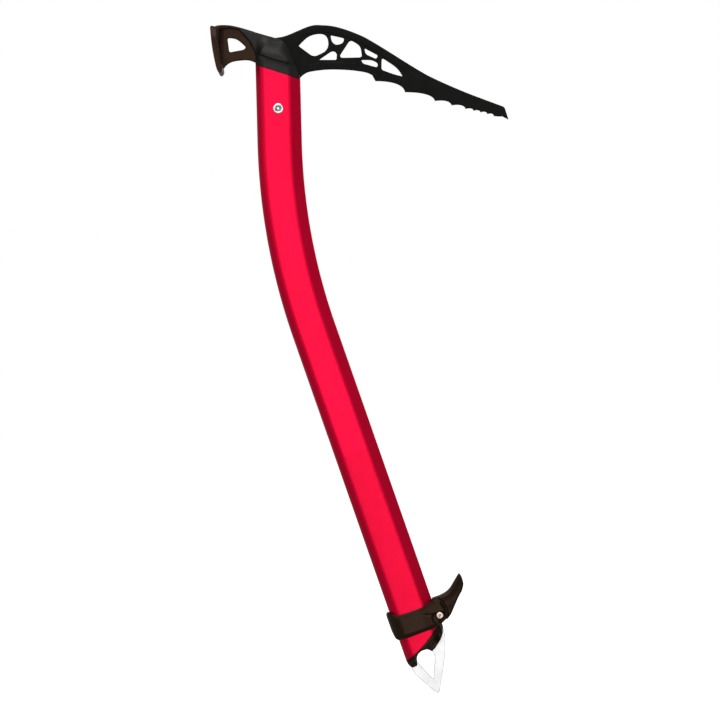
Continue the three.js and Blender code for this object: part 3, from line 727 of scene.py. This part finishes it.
shaft = build_shaft()
rivet_hole = bore("rivet_hole", (0, 0), RIVET_SHANK + 0.1)
rivet_hole.data.transform(Matrix.Translation((HEAD_X, 0, HEAD_Z)))
combine(shaft, rivet_hole, "DIFFERENCE")
foot_hole = bore("foot_hole", PIN, PIN_RADIUS + GAP)
foot_hole.data.transform(Matrix.Rotation(-LOWER_LEAN, 4, "Y"))
combine(shaft, foot_hole, "DIFFERENCE")
finish_piece(shaft, WHOLE, "axe", ["shaft"], "anodised_aluminium", 40)

# ---- Pick ----
PICK_CHAMFER = 0.55
SPINE_CHAMFER = 1.0
NOSE_THINS = 0.9
TRUSS_RECESS = 0.4
TANG_OUTSIDE = 1.8
TANG_INSIDE = 0.15
TEETH = [
    (69.1, 20.2), (90.2, 12.3), (111.5, 6.0), (123.3, 2.9), (133.3, 0.3),
    (139.0, -1.0), (143.9, -2.1), (148.9, -3.4), (153.5, -4.7),
]
PICK_THROAT = [(18.0, 24.8), (22.8, 26.9), (35.6, 28.4), (50.6, 28.0), (62.0, 26.4), (66.8, 24.4)]
HOOD_FRONT = [(15.6, 21.4), (14.2, 26.6), (10.6, 37.3), (7.1, 43.7), (3.4, 48.7), (-2.5, 50.8)]
PICK_SPINE = [
    (134.0, 11.8), (112.6, 21.1), (99.1, 28.3), (69.1, 46.9), (56.3, 53.6),
    (42.0, 58.5), (31.4, 59.9), (22.1, 59.2), (5.7, 52.5), (-2.1, 50.9),
]
PICK_WINDOWS = [
    [(14.2, 45.2, 1.2), (22.2, 53.2, 6), (34.6, 54.2, 6), (36.2, 42.4, 6.5), (25.1, 37.2, 3.2)],
    [(37.0, 52.8, 1.3), (46.9, 50.6, 1.4), (46.0, 47.2, 1.6), (41.4, 45.6, 2.6), (38.2, 47.6, 2)],
    [(28.9, 35.2, 0.9), (38.4, 41.8, 3), (41.7, 40.2, 2), (41.3, 35.2, 1)],
    [(51.2, 49.6, 2.6), (58.4, 45.2, 3), (59.6, 37.0, 2.2), (42.6, 36.6, 4)],
    [(61.2, 43.6, 1.3), (70.9, 38.4, 1.1), (69.6, 35.9, 1.1), (62.2, 39.2, 1.8)],
    [(58.8, 35.2, 1.3), (66.6, 35.2, 2.6), (70.9, 32.8, 1.6), (70.4, 29.8, 1.4), (60.2, 32.6, 1.6)],
    [(73.6, 36.8, 2.2), (84.6, 29.6, 5), (88.6, 23.4, 1.2), (82.4, 24.9, 2.5), (73.4, 28.2, 1.6)],
]


def pick_outline():
    root = [(-2.1, 47.9), (-12.5, 50.6), (-12.5, 26), (12.9, 22.4), (15.2, 22.2)]
    drawn = Outline(*root[-1]).spline(*PICK_THROAT).line(TEETH[0])
    for index, (x, z) in enumerate(TEETH[1:]):
        from_x, from_z = TEETH[index]
        arch = 0 if index < 2 else 0.9
        run = x - from_x
        rise = 0.75 * (from_z - z) + arch
        drawn.cubic((from_x + 0.5 * run, from_z + arch), (x - 0.05 * run, z + rise), (x, z))
    drawn.curve((157.0, -5.2), (159.6, -5.0)).line((163.9, -7.3), (161.5, 0.4))
    drawn.curve((161.0, 1.8), (159.2, 2.35)).spline(*PICK_SPINE)
    drawn.line(*root[:-1])
    return drawn.points


def pick_height(x, z, depth):
    """Plate with a wide chamfer on the spine and a narrow one elsewhere. The windowed middle lies a
    little below the beams above and under it, and the nose is ground thinner towards the tip."""
    spots = np.column_stack([x, z])
    spine = Outline(159.2, 2.35).spline(*PICK_SPINE).points
    from_spine = distance_to(spots, spine, closed=False)
    lower = Outline(*HOOD_FRONT[0]).spline(*PICK_THROAT).line(*TEETH[:3]).points
    from_lower = distance_to(spots, lower, closed=False)
    chamfer = np.maximum(PICK_CHAMFER - depth, 0)
    top = 0.75 * np.maximum(SPINE_CHAMFER - from_spine, 0)
    ground = NOSE_THINS * np.clip((x - 152) / 12, 0, 1)
    middle = smoothstep(from_spine, 4.6, 5.2) * smoothstep(from_lower, 4.4, 5.0)
    middle = middle * smoothstep(x, 12, 18) * (1 - smoothstep(x, 88, 96))
    return PLATE_HALF - np.maximum(chamfer, top) - ground - TRUSS_RECESS * middle


def build_pick():
    blade = pillow("pick_blade", pick_outline(), pick_height,
                   [rounded(corners) for corners in PICK_WINDOWS], rings=(0.28, 0.55, 1.0), step=0.6,
                   grid=0.8)
    tang = prism("tang", [(-12.5, 49), (-12.5, -14), (12.9, -14), (12.9, 23), (8, 40)],
                 TANG_INSIDE, TANG_OUTSIDE)
    combine(blade, tang, "UNION")
    lap = [(-13.0, 51.2), (-4.8, 43.9), (2.3, 38.2), (8.3, 26.1), (8.3, -14.5), (-13.0, -14.5)]
    combine(blade, prism("lap", lap, -5, TANG_INSIDE), "DIFFERENCE")
    return combine(blade, bore("hole", (0, 0), RIVET_SHANK + GAP), "DIFFERENCE")


finish_piece(build_pick(), HEAD, "axe", ["pick"], "pick_steel", 25)


# ---- Adze ----
ADZE_CHAMFER = 0.6
BLADE_EDGE = 0.45
BLADE_FACE = -42.6
FILLET = 4.3
RAIL_HALF = 2.6
RAIL_WIDENS = 3.2
RAIL_CHAMFER = 1.2


def build_adze():
    web = Outline(-16.7, 33.4).spline((-22.1, 35.0), (-31.4, 34.2), (-36.3, 32.0), (-39.2, 28.6))
    web.line((-42.5, 27), (-45.5, 57)).spline((-42.0, 59.4), (-34.9, 59.4), (-28.0, 58.1), (-16.7, 54.8))
    web.line((-16.7, 52.0), (-12.9, 50.8), (-12.9, 33))
    window = rounded([(-36.4, 50.9, 1.6), (-29.6, 50.3, 4.5), (-23.0, 44.2, 1.6), (-24.8, 42.4, 1),
                      (-35.0, 40.5, 1.4)])

    def web_height(x, z, depth):
        return PLATE_HALF - np.maximum(ADZE_CHAMFER - depth, 0)

    piece = pillow("adze_head", web.points, web_height, [window], rings=(0.3, 0.6), step=0.6, grid=2.5)

    # The blade stands across the web, with its corners taken off and its edges rounded.
    profile = Outline(-42.2, 25.4)
    profile.spline((-43.6, 28.2), (-45.3, 35.5), (-46.8, 44), (-47.9, 53), (-48.3, 57.2))
    profile.curve((-48.2, 58.6), (-47.0, 58.6)).line((-44.2, 57.9))
    profile.spline((-43.6, 50), (-42.4, 42), (-40.9, 34.5), (-39.3, 28.8))
    profile.curve((-38.9, 26.6), (-40.4, 25.2)).curve((-41.3, 24.5), (-42.2, 25.4))
    blade = prism("blade", profile.points, -BEYOND, BEYOND)
    face = Outline(-19, 22).line((19, 22), (18.7, 32))
    face.spline((18.2, 40), (16.6, 50), (12.5, 57.5), (8, 60.5))
    face.line((-8, 60.5)).spline((-12.5, 57.5), (-16.6, 50), (-18.2, 40), (-18.7, 32))
    shape = prism("face", face.points, -60, -30)
    swap_x_and_y = Matrix(((0, 1, 0, 0), (1, 0, 0, 0), (0, 0, 1, 0), (0, 0, 0, 1)))
    shape.data.transform(swap_x_and_y)
    shape.data.flip_normals()
    combine(blade, shape, "INTERSECT")
    soften(blade, BLADE_EDGE, 3, 35)

    # Concave fillets run from the web into the blade on both sides.
    edge = PLATE_HALF + FILLET
    middle = BLADE_FACE + FILLET
    behind = -45
    plan = Outline(behind, -edge).line((BLADE_FACE, -edge)).arc((middle, -edge), FILLET, 180, 90, 12)
    plan.line((middle + 0.5, 0)).arc((middle, edge), FILLET, 270, 180, 12)
    plan.line((BLADE_FACE, edge), (behind, edge))
    fillet = prism("fillet", plan.points, 20, 70, along="Z")
    side = Outline(behind, 57.4).line((behind, 40), (-42.4, 30.2))
    side.spline((-40.2, 28.6), (-38.2, 30.6), (-37.4, 33.5)).line((-37.4, 57.6))
    combine(fillet, prism("side", side.points, -BEYOND, BEYOND), "INTERSECT")

    # A rail stiffens the top of the web and runs into the blade.
    rail = Outline(-46.5, 58.4).spline((-42.0, 59.6), (-34.9, 59.6), (-28.0, 58.3), (-16.9, 55.1))
    rail.line((-16.9, 52.9)).spline((-28.0, 56.0), (-34.9, 57.2), (-41.0, 56.6), (-46.5, 54.5))

    def rail_height(x, z, depth):
        widening = np.clip((-x - 17) / 26, 0, 1) ** 1.5
        return RAIL_HALF + RAIL_WIDENS * widening - np.maximum(RAIL_CHAMFER - depth, 0) * 0.8

    top = pillow("rail", rail.points, rail_height, rings=(0.4, 0.8), step=0.6, grid=1.2)
    combine(blade, fillet, "UNION")
    combine(blade, top, "UNION")
    combine(piece, blade, "UNION")
    lap = [(-13.5, 50.6), (-12.8, 50.5), (-5, 43.4), (2, 37.8), (8, 26), (8, -14), (-12.5, -14),
           (-12.5, 33), (-13.5, 33.4)]
    combine(piece, prism("lap", lap, -TANG_OUTSIDE, -TANG_INSIDE), "UNION")
    return combine(piece, bore("hole", (0, 0), RIVET_SHANK + GAP), "DIFFERENCE")


finish_piece(build_adze(), HEAD, "axe", ["adze"], "adze_steel", 28)


# ---- Hood ----
HOOD_EDGE = 2.7
HOOD_PROUD = 1.35
HOOD_SWELL = 1.5
SKIRT_DIP = 0.45
WING_HALF = 4.3
WING_THINS = 0.8
HOOD_CREASE = [(-20, 41.0), (-14.6, 39.4), (-6.1, 35.8), (1.1, 33.7), (8.2, 31.9), (16, 30.4)]


def hood_height(x, z, depth):
    """Skirt flush with the shaft, then a step out to an upper face that swells towards the front and
    falls to the plates above and ahead, and a thin wing over the web at the back."""
    spots = np.column_stack([x, z])
    axis_x = AXIS_AT_RIVET - z * math.tan(UPPER_LEAN)
    section = half_depth_at(x - axis_x)
    from_top = distance_to(spots, [HOOD_FRONT[-1], (-16.0, 54.6), (-27.4, 57.0)], closed=False)
    from_front = distance_to(spots, smooth(HOOD_FRONT).points, closed=False)
    dome = HOOD_EDGE + (section - HOOD_EDGE) * fall(from_top, 15) * fall(from_front, 9)
    above = z - np.interp(x, [p[0] for p in HOOD_CREASE], [p[1] for p in HOOD_CREASE])
    swell = HOOD_PROUD + HOOD_SWELL * smoothstep(x, 2, 9)
    proud = swell * np.clip((15 - x) / 3.5, 0, 1) * np.clip((x + 15.5) / 3, 0, 1)
    upper = dome + proud * (1 - smoothstep(above, 0.8, 10))
    step = smoothstep(above, -0.7, 0.3)
    skirt = section - SKIRT_DIP * smoothstep(above, -3.4, -0.7)
    height = skirt * (1 - step) + upper * step
    shoulder = np.interp(z, [37, 50], [-14.6, -6.0])
    behind = np.clip((shoulder - x) / (shoulder + 16.8), 0, 1)
    wing = WING_HALF - WING_THINS * np.clip((-x - 17) / 10, 0, 1) - rounding(depth, 1.4)
    height = np.maximum(height, wing) * (1 - behind) + wing * behind
    at_collar = smoothstep(z - COLLAR_HEIGHT - GAP - COLLAR_SLOPE * x, 0.8, 1.6)
    return height - rounding(depth, 0.8) * at_collar * (1 - behind)


def build_hood():
    drawn = smooth(HOOD_FRONT)
    drawn.line((-16.0, 54.6), (-27.4, 57.0)).curve((-28.0, 56.0), (-27.4, 55.2))
    drawn.spline((-20.3, 47.0), (-16.6, 39.0), (-16.45, 34.5))
    for x in np.linspace(-16.3, 15.5, 12):
        drawn.line((x, COLLAR_HEIGHT + GAP + COLLAR_SLOPE * x))
    piece = pillow("hood_moulding", drawn.points, hood_height, rings=(0.15, 0.35, 0.6, 0.9, 1.4), step=0.5,
                   grid=0.5)
    slot = [(-60, 0), (-60, 70), (-16.4, 70), (-16.4, 52.6), (-2.5, 48.7), (-2.4, 70), (60, 70), (60, 0)]
    spigot = prism("spigot", shaft_section(WALL + GAP), 11, 34, along="Z")
    spigot.data.transform(Matrix.Translation((AXIS_AT_RIVET, 0, 0)) @ Matrix.Rotation(-UPPER_LEAN, 4, "Y"))
    side = [(-14, 5), (13.4, 5), (13.4, 24), (12.4, 30), (-13.8, 34)]
    combine(spigot, prism("side", side, -BEYOND, BEYOND), "INTERSECT")
    combine(piece, spigot, "UNION")
    half = PLATE_HALF + GAP
    return combine(piece, prism("slot", slot, -half, half), "DIFFERENCE")


finish_piece(build_hood(), HEAD, "axe", ["head_hood"], "hood_nylon", 50)


# ---- Rivet ----
def both_ends(half_profile):
    """A turned profile carried on to its mirror image on the far side."""
    return half_profile + [(r, -y) for r, y in reversed(half_profile)]


def build_rivet():
    """A tube with a rolled rim at each end that dips to the bore in a cone."""
    seat = HALF_DEPTH + 0.05
    rim = [(1.5, -1.0), (1.9, -0.4), (2.2, 0.6), (2.34, 0.9), (2.6, 1.04), (3.1, 1.08), (3.4, 0.98),
           (3.62, 0.72), (3.72, 0.40), (3.72, 0.0), (RIVET_SHANK, 0.0)]
    profile = both_ends([(r, seat + y) for r, y in rim])
    return lathe("rivet_body", [*profile, profile[0]])


def build_rivet_pin():
    end = HALF_DEPTH + 0.45
    cap = [(0.0, end), (0.5, end - 0.03), (0.85, end - 0.18), (1.0, end - 0.5), (1.42, end - 1.1)]
    return lathe("rivet_mandrel", both_ends(cap))


finish_piece(build_rivet(), HEAD, "axe", ["head_rivet"], "rivet_steel", 50)
finish_piece(build_rivet_pin(), HEAD, "axe", ["head_rivet_pin"], "rivet_steel", 50)


# ---- Foot: plug and spike ----
PLUG_WAIST = 4.4
PLUG_FRONT = 2.2
PLUG_EDGE = 1.1
SPIKE_CHAMFER = 0.3
POINT_THINS = 0.5
TANG_TOP = -62.5


def plug_height(x, z, depth):
    """A lip flush with the shaft along the cut, then a scooped pocket, waisted towards the spike,
    and a fuller rounded front."""
    section = half_depth_at(x)
    below = foot_cut_at(x) - GAP - z
    waist = smoothstep(below, 2.0, 5.5)
    front = PLUG_FRONT * smoothstep(x, 8.5, 12.5)
    height = section * (1 - waist) + np.minimum(section, PLUG_WAIST + front) * waist
    return height - rounding(depth, PLUG_EDGE) * smoothstep(below, 0.6, 1.6)


def build_plug():
    drawn = Outline(-15.75, -78.1).spline((-15.3, -80.5), (-14.2, -83.0), (-12.5, -84.0)).line((-9.9, -83.8))
    drawn.curve((-9.2, -83.2), (-9.0, -82.0)).arc(EYE, EYE_RADIUS + 0.2, 178, 34, 20)
    drawn.line((4.6, -77.1), (6.7, -76.0)).spline((11.4, -72.3), (14.0, -69.5), (15.6, -67.0), (17.0, -63.2))
    drawn.spline((17.1, -61.6), (16.6, -60.6), (15.9, -60.0))
    for x in np.linspace(15.6, -15.6, 14):
        drawn.line((x, foot_cut_at(x) - GAP))
    piece = pillow("plug_moulding", drawn.points, plug_height, rings=(0.15, 0.4, 0.75, 1.1), step=0.5,
                   grid=0.7)
    spigot = prism("spigot", shaft_section(WALL + GAP), -82, -46, along="Z")
    side = [(-14.2, -76.5), (-9, -77), (-2, -74.0), (4.4, -73), (13.9, -65), (13.9, -46), (-13.9, -46)]
    combine(spigot, prism("side", side, -BEYOND, BEYOND), "INTERSECT")
    combine(piece, spigot, "UNION")
    slot = [(-16.2, -90), (-16.2, -84), (-12.4, -80), (-10.4, -74), (-10.4, -49.6), (9.4, -49.6),
            (9.4, -60.8), (16, -62.0), (20, -62.0), (20, -90)]
    half = SPIKE_HALF + 0.15
    combine(piece, prism("slot", slot, -half, half), "DIFFERENCE")
    return combine(piece, bore("pin_hole", PIN, PIN_RADIUS + GAP), "DIFFERENCE")


def spike_outline():
    drawn = Outline(-12.0, -80).line((-14.2, -84.6), (-13.0, -89.3), (-4.2, -105.0))
    drawn.curve((-2.0, -108.6), (-0.2, -106.0), 8)
    drawn.spline((3.6, -98.8), (9.2, -88.4), (12.7, -80), (15.9, -71.6), (17.0, -63.6))
    drawn.line((16.0, -62.4), (9.0, -61.2), (9.0, -50), (-10, -50), (-10, -74))
    return drawn.points


def build_spike():
    eye = Outline(-2.3, -95.9).curve((-1.8, -96.9), (-1.3, -95.9))
    eye.arc(EYE, EYE_RADIUS, -14, 194, 40)

    def height(x, z, depth):
        ground = np.clip((-92 - z) / 15, 0, 1) * POINT_THINS
        return SPIKE_HALF - np.maximum(SPIKE_CHAMFER - depth, 0) * 0.9 - ground - 0.1 * (z > TANG_TOP)

    piece = pillow("spike_plate", spike_outline(), height, [eye.points], rings=(0.15, 0.3), step=0.5,
                   grid=2.0)
    return combine(piece, bore("pin_hole", PIN, PIN_RADIUS + GAP), "DIFFERENCE")


finish_piece(build_plug(), FOOT, "axe", ["end_plug"], "plug_nylon", 45)
finish_piece(build_spike(), FOOT, "axe", ["spike"], "spike_stainless", 25)
pin_end = [(0.0, 10.12), (1.2, 10.1), (1.45, 9.95), (PIN_RADIUS, 9.7)]
spike_pin = lathe("tang_pin", both_ends(pin_end), PIN, 32)
finish_piece(spike_pin, FOOT, "axe", ["spike_pin"], "rivet_steel", 50)


# ---- Hand rest ----
EAR_END = [(20.0, -43.2), (22.4, -46.2), (23.4, -51.0), (22.9, -55.6), (20.4, -58.8), (15.7, -60.8)]
BAND_TOP = [(-16.9, -41.1), (-12.8, -44.0), (-7.9, -45.2), (0, -45.4), (7.5, -45.2), (13.6, -43.9),
            (16.5, -43.0)]
BAND_BEND = 9.5
BAND_BEND_START = -9.2
BAND_BORE_SIDE = 10.45
BAND_CHAMFER = 2.2
BAND_EDGE = 1.2
BAND_ROLL = 3.4
POCKET = (14.0, -55.8)
POCKET_DEPTH = 2.0
FOLD = [(13.5, -52.4), (6.0, -50.5)]
FOLD_DEPTH = 0.8
SEAT_DEPTH = 2.3
SEAT_RADIUS = 3.35
BAND_FOOT = [(15.7, -60.8), (9, -62.2), (0, -62.5), (-8, -62.4), (-15.2, -62.2)]


def band_outline():
    drawn = smooth(BAND_TOP).line(EAR_END[0]).spline(*EAR_END[1:])
    drawn.spline(*BAND_FOOT[1:]).spline((-17.6, -60.2), (-18.6, -54.5))
    drawn.line((-18.7, -43.8)).spline((-18.3, -42.0), (-16.9, -41.1))
    return drawn.points


def groove(distance, middle, half_width, depth):
    """A shallow round-bottomed line at a distance from something."""
    return depth * np.maximum(1 - ((distance - middle) / half_width) ** 2, 0)


def band_height(t, s, depth):
    """Strap bent round the shaft's rear, with a chamfer along its top, a roll along its foot, a line
    inside the ear's rim, a scoop below the screw, a fold that runs rearwards from it, and a seat."""
    spots = np.column_stack([t, s])
    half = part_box("rest_band")[1][1] / MM
    rear = np.maximum(BAND_BEND_START - t, 0)
    plan = half - 1.1 * (BAND_BEND - np.sqrt(np.maximum(BAND_BEND ** 2 - rear ** 2, 0)))
    from_top = distance_to(spots, smooth(BAND_TOP).line(EAR_END[0]).points, closed=False)
    from_foot = distance_to(spots, smooth(BAND_FOOT).points, closed=False)
    from_ear = distance_to(spots, smooth(EAR_END).points, closed=False)
    inboard = smoothstep(t, -17, -11)
    chamfer = np.maximum(BAND_CHAMFER - from_top, 0) * 0.55 * inboard
    line = groove(from_top, 3.0, 0.6, 0.35) * smoothstep(t, -8, -2) * (1 - smoothstep(t, 12, 15))
    rim = groove(from_ear, 1.6, 0.6, 0.7) * smoothstep(s, -59, -56) * (1 - smoothstep(s, -47, -45))
    waist = 0.5 * smoothstep(t, -8, 2) * (1 - smoothstep(t, 4, 12))
    scoop = np.hypot((t - POCKET[0]) / 2.7, (s - POCKET[1]) / 3.9)
    pocket = POCKET_DEPTH * (1 - smoothstep(scoop, 0.65, 1.15))
    from_fold = distance_to(spots, FOLD, closed=False)
    fold = FOLD_DEPTH * (1 - smoothstep(from_fold, 0.1, 0.9)) * smoothstep(t, 5.5, 11)
    seat = SEAT_DEPTH * (np.hypot(t - SCREW[0], s - SCREW[1]) < SEAT_RADIUS)
    edges = np.maximum(np.maximum(chamfer, rounding(depth, BAND_EDGE)), rounding(from_foot, BAND_ROLL))
    height = plan - edges - waist - line - rim
    floor = BAND_BORE_SIDE - 1.6 * smoothstep(rear, 0, 4)
    return np.maximum(height - np.maximum(np.maximum(pocket, fold), seat), floor * (rear < 4))


def build_band():
    piece = pillow("band_moulding", band_outline(), band_height, rings=(0.08, 0.25, 0.5, 0.9, 1.6, 2.4, 3.4),
                   step=0.5, grid=0.45)
    combine(piece, prism("shaft_space", shaft_section(-GAP), -80, -20, along="Z"), "DIFFERENCE")
    half = ROOT_HALF + GAP
    slot = [(9, -half), (40, -half), (40, half), (9, half)]
    combine(piece, prism("horn_space", slot, -80, -20, along="Z"), "DIFFERENCE")
    combine(piece, bore("screw_hole", SCREW, SCREW_SHANK + GAP), "DIFFERENCE")
    return combine(piece, hexagon("nut_seat", SCREW, NUT_RADIUS + 0.35, SEAT_FACE, BEYOND), "DIFFERENCE")


HORN_RIDGE = 2.6
HORN_HOLLOW = 0.7
HORN_EDGE = 1.3
ROOT_HALF = 8.0
ROOT_EDGE = 0.4
HORN_TOP = [(21.5, -42.1), (26.2, -41.4), (30.7, -39.4), (36.2, -34.8), (39.4, -32.1)]


def horn_outline():
    drawn = Outline(16.1, -58.6).line((16.1, -42.0), HORN_TOP[0]).spline(*HORN_TOP[1:])
    drawn.spline((40.4, -32.0), (41.2, -34.4), (40.7, -39.6), (38.0, -43.9))
    drawn.spline((34.2, -47.3), (29.5, -52.2), (25.4, -56.5), (22.0, -58.9))
    return drawn.points


def horn_height(t, s, depth):
    """Root between the ears, then a wider fin that thins towards its tip: a sloping top strip, a line
    under it and a slightly hollow flank."""
    spots = np.column_stack([t, s])
    taper = np.interp(t, [20, 25, 42], [11.0, 10.6, 6.0])
    from_top = distance_to(spots, smooth(HORN_TOP).points, closed=False)
    strip = np.maximum(HORN_RIDGE - from_top, 0) * 0.5
    hollow = HORN_HOLLOW * np.sin(np.pi * np.clip((from_top - HORN_RIDGE) / 9, 0, 1))
    line = groove(from_top, HORN_RIDGE, 0.7, 1.0) * smoothstep(t, 22, 25)
    fin = taper - np.maximum(strip, hollow) - line - rounding(depth, HORN_EDGE)
    ear = Outline(20.4, -42.4).spline((22.9, -45.9), (23.9, -51.0), (23.4, -55.8), (20.6, -59.3)).points
    behind = np.interp(s, [p[1] for p in ear[::-1]], [p[0] for p in ear[::-1]])
    step = smoothstep(t - behind, 0.05, 0.35)
    root = ROOT_HALF - rounding(depth, ROOT_EDGE)
    return root * (1 - step) + np.maximum(fin, 1.0) * step


def build_horn():
    piece = pillow("horn_moulding", horn_outline(), horn_height,
                   rings=(0.12, 0.35, 0.7, 1.3, 1.9, 2.25, 2.6, 2.95, 3.3), step=0.4, grid=0.45)
    return combine(piece, bore("screw_hole", SCREW, SCREW_SHANK + GAP), "DIFFERENCE")


def build_screw():
    """A low head with a key recess, drilled to a point, on a plain shank."""
    head = [(0.0, -12.45), (1.9, -12.4), (2.35, -12.25), (2.62, -11.95), (2.7, -11.6), (2.7, -10.6),
            (SCREW_SHANK, -10.6), (SCREW_SHANK, 12.9), (1.2, 13.2), (0.0, 13.2)]
    piece = lathe("clamp_screw", head, SCREW, 64)
    combine(piece, hexagon("key_recess", SCREW, 1.5, -14, -11.0), "DIFFERENCE")
    point = lathe("drill_point", [(0.0, -14), (1.25, -14), (1.25, -11.1), (0.0, -9.6)], SCREW, 32)
    return combine(piece, point, "DIFFERENCE")


def build_nut():
    """A hexagon nut with its outer corners turned off."""
    piece = hexagon("clamp_nut", SCREW, NUT_RADIUS, SEAT_FACE + GAP, 12.7)
    cone = lathe("cone", [(0.0, 10.0), (3.2, 10.0), (3.25, 12.35), (2.6, 12.71), (0.0, 12.71)], SCREW, 48)
    combine(piece, cone, "INTERSECT")
    return combine(piece, bore("thread", SCREW, SCREW_SHANK + 0.12), "DIFFERENCE")


finish_piece(build_band(), FOOT, "hand_rest", ["rest_band"], "rest_nylon", 45)
finish_piece(build_horn(), FOOT, "hand_rest", ["rest_horn"], "rest_nylon", 45)
finish_piece(build_screw(), FOOT, "clamp_screw", ["rest_screw"], "screw_stainless", 35)
finish_piece(build_nut(), FOOT, "hand_rest", ["rest_nut"], "screw_stainless", 35)

# The packers stay as they are in the frame, hidden inside the tube.
for packer in ("tang_packer_left", "tang_packer_right"):
    node = frame["nodes"][packer]
    node.data.materials.clear()
    node.data.materials.append(FINISH["hood_nylon"])


# ---- Studio ----
SURROUND = 0.30


def pale_floor(floor_z):
    """A wide pale floor that glows a little, to stay even, and doesn't mirror in the metal."""
    reach = 12.0
    corners = [(-reach, -reach), (reach, -reach), (reach, reach), (-reach, reach)]
    floor = make("studio_floor", [(x, y, floor_z) for x, y in corners], [(0, 1, 2, 3)])
    material, tree, where = new_material("studio_paper")
    fibres = add(tree, "ShaderNodeTexNoise", Vector=where, Scale=1 / (40 * MM), Detail=2).outputs["Fac"]
    tone = add(tree, "ShaderNodeMix", {"data_type": "RGBA"}, i0=fibres, i6=linear("#F6F6F6"),
               i7=linear("#F9F9F9")).outputs[2]
    paper = add(tree, "ShaderNodeBsdfDiffuse", Color=tone)
    glow = add(tree, "ShaderNodeEmission", Color=tone, Strength=0.85)
    both = add(tree, "ShaderNodeAddShader", i0=paper.outputs[0], i1=glow.outputs[0])
    add(tree, "ShaderNodeOutputMaterial", Surface=both.outputs[0])
    floor.data.materials.append(material)
    floor.visible_glossy = False
    floor.visible_diffuse = False


def studio_air():
    """White to look at, and a dim grey surround as light, so that the sides of the metal fall off."""
    world = bpy.data.worlds.new("studio_air")
    world.use_nodes = True
    tree = world.node_tree
    tree.nodes.clear()
    seen = add(tree, "ShaderNodeBackground", Color=(1, 1, 1, 1), Strength=1.0)
    light = add(tree, "ShaderNodeBackground", Color=(1, 1, 1, 1), Strength=SURROUND)
    path = add(tree, "ShaderNodeLightPath")
    mixed = add(tree, "ShaderNodeMixShader", i0=path.outputs["Is Camera Ray"], i1=light.outputs[0],
                i2=seen.outputs[0])
    add(tree, "ShaderNodeOutputWorld", Surface=mixed.outputs[0])
    bpy.context.scene.world = world


def softbox(name, place, target, width, height, watts, roll=0.0):
    """A rectangular lamp aimed at the object, rolled about its own axis by an angle in degrees."""
    lamp = bpy.data.lights.new(name, "AREA")
    lamp.shape = "RECTANGLE"
    lamp.size, lamp.size_y = width, height
    lamp.energy = watts
    holder = bpy.data.objects.new(name, lamp)
    holder.location = place
    aimed = (Vector(target) - Vector(place)).to_track_quat("-Z", "Y").to_matrix()
    holder.rotation_euler = (aimed @ Matrix.Rotation(math.radians(roll), 3, "Z")).to_euler()
    bpy.context.scene.collection.objects.link(holder)


def build_studio():
    low, high = (Vector(corner) for corner in cad_box)
    middle = (low + high) / 2
    pale_floor(low.z - 0.07)
    studio_air()
    softbox("front_softbox", (-0.06, -2.3, 0.20), middle, 1.1, 2.3, 18, 40)
    softbox("back_softbox", (1.3, 2.0, 0.75), middle, 1.3, 1.6, 14)
    softbox("top_softbox", (-0.1, -0.7, 1.6), middle, 1.4, 1.0, 16)
    softbox("left_softbox", (-1.6, -1.6, 0.85), middle, 1.4, 0.9, 3.2)
    softbox("right_softbox", (1.2, -2.0, -0.05), middle, 0.7, 0.7, 4.2)

    aim = Vector((-0.0221, 0, 0.1354))
    distance = 2.6
    frame_width = 0.5131
    lens = bpy.data.cameras.new("camera")
    lens.sensor_width = 36
    lens.lens = lens.sensor_width * distance / frame_width
    lens.clip_end = 50
    camera = bpy.data.objects.new("camera", lens)
    camera.location = aim - Vector((0, distance, 0))
    camera.rotation_euler = (math.pi / 2, 0, 0)
    bpy.context.scene.collection.objects.link(camera)
    bpy.context.scene.camera = camera
    bpy.context.scene.view_settings.view_transform = "Standard"


build_studio()
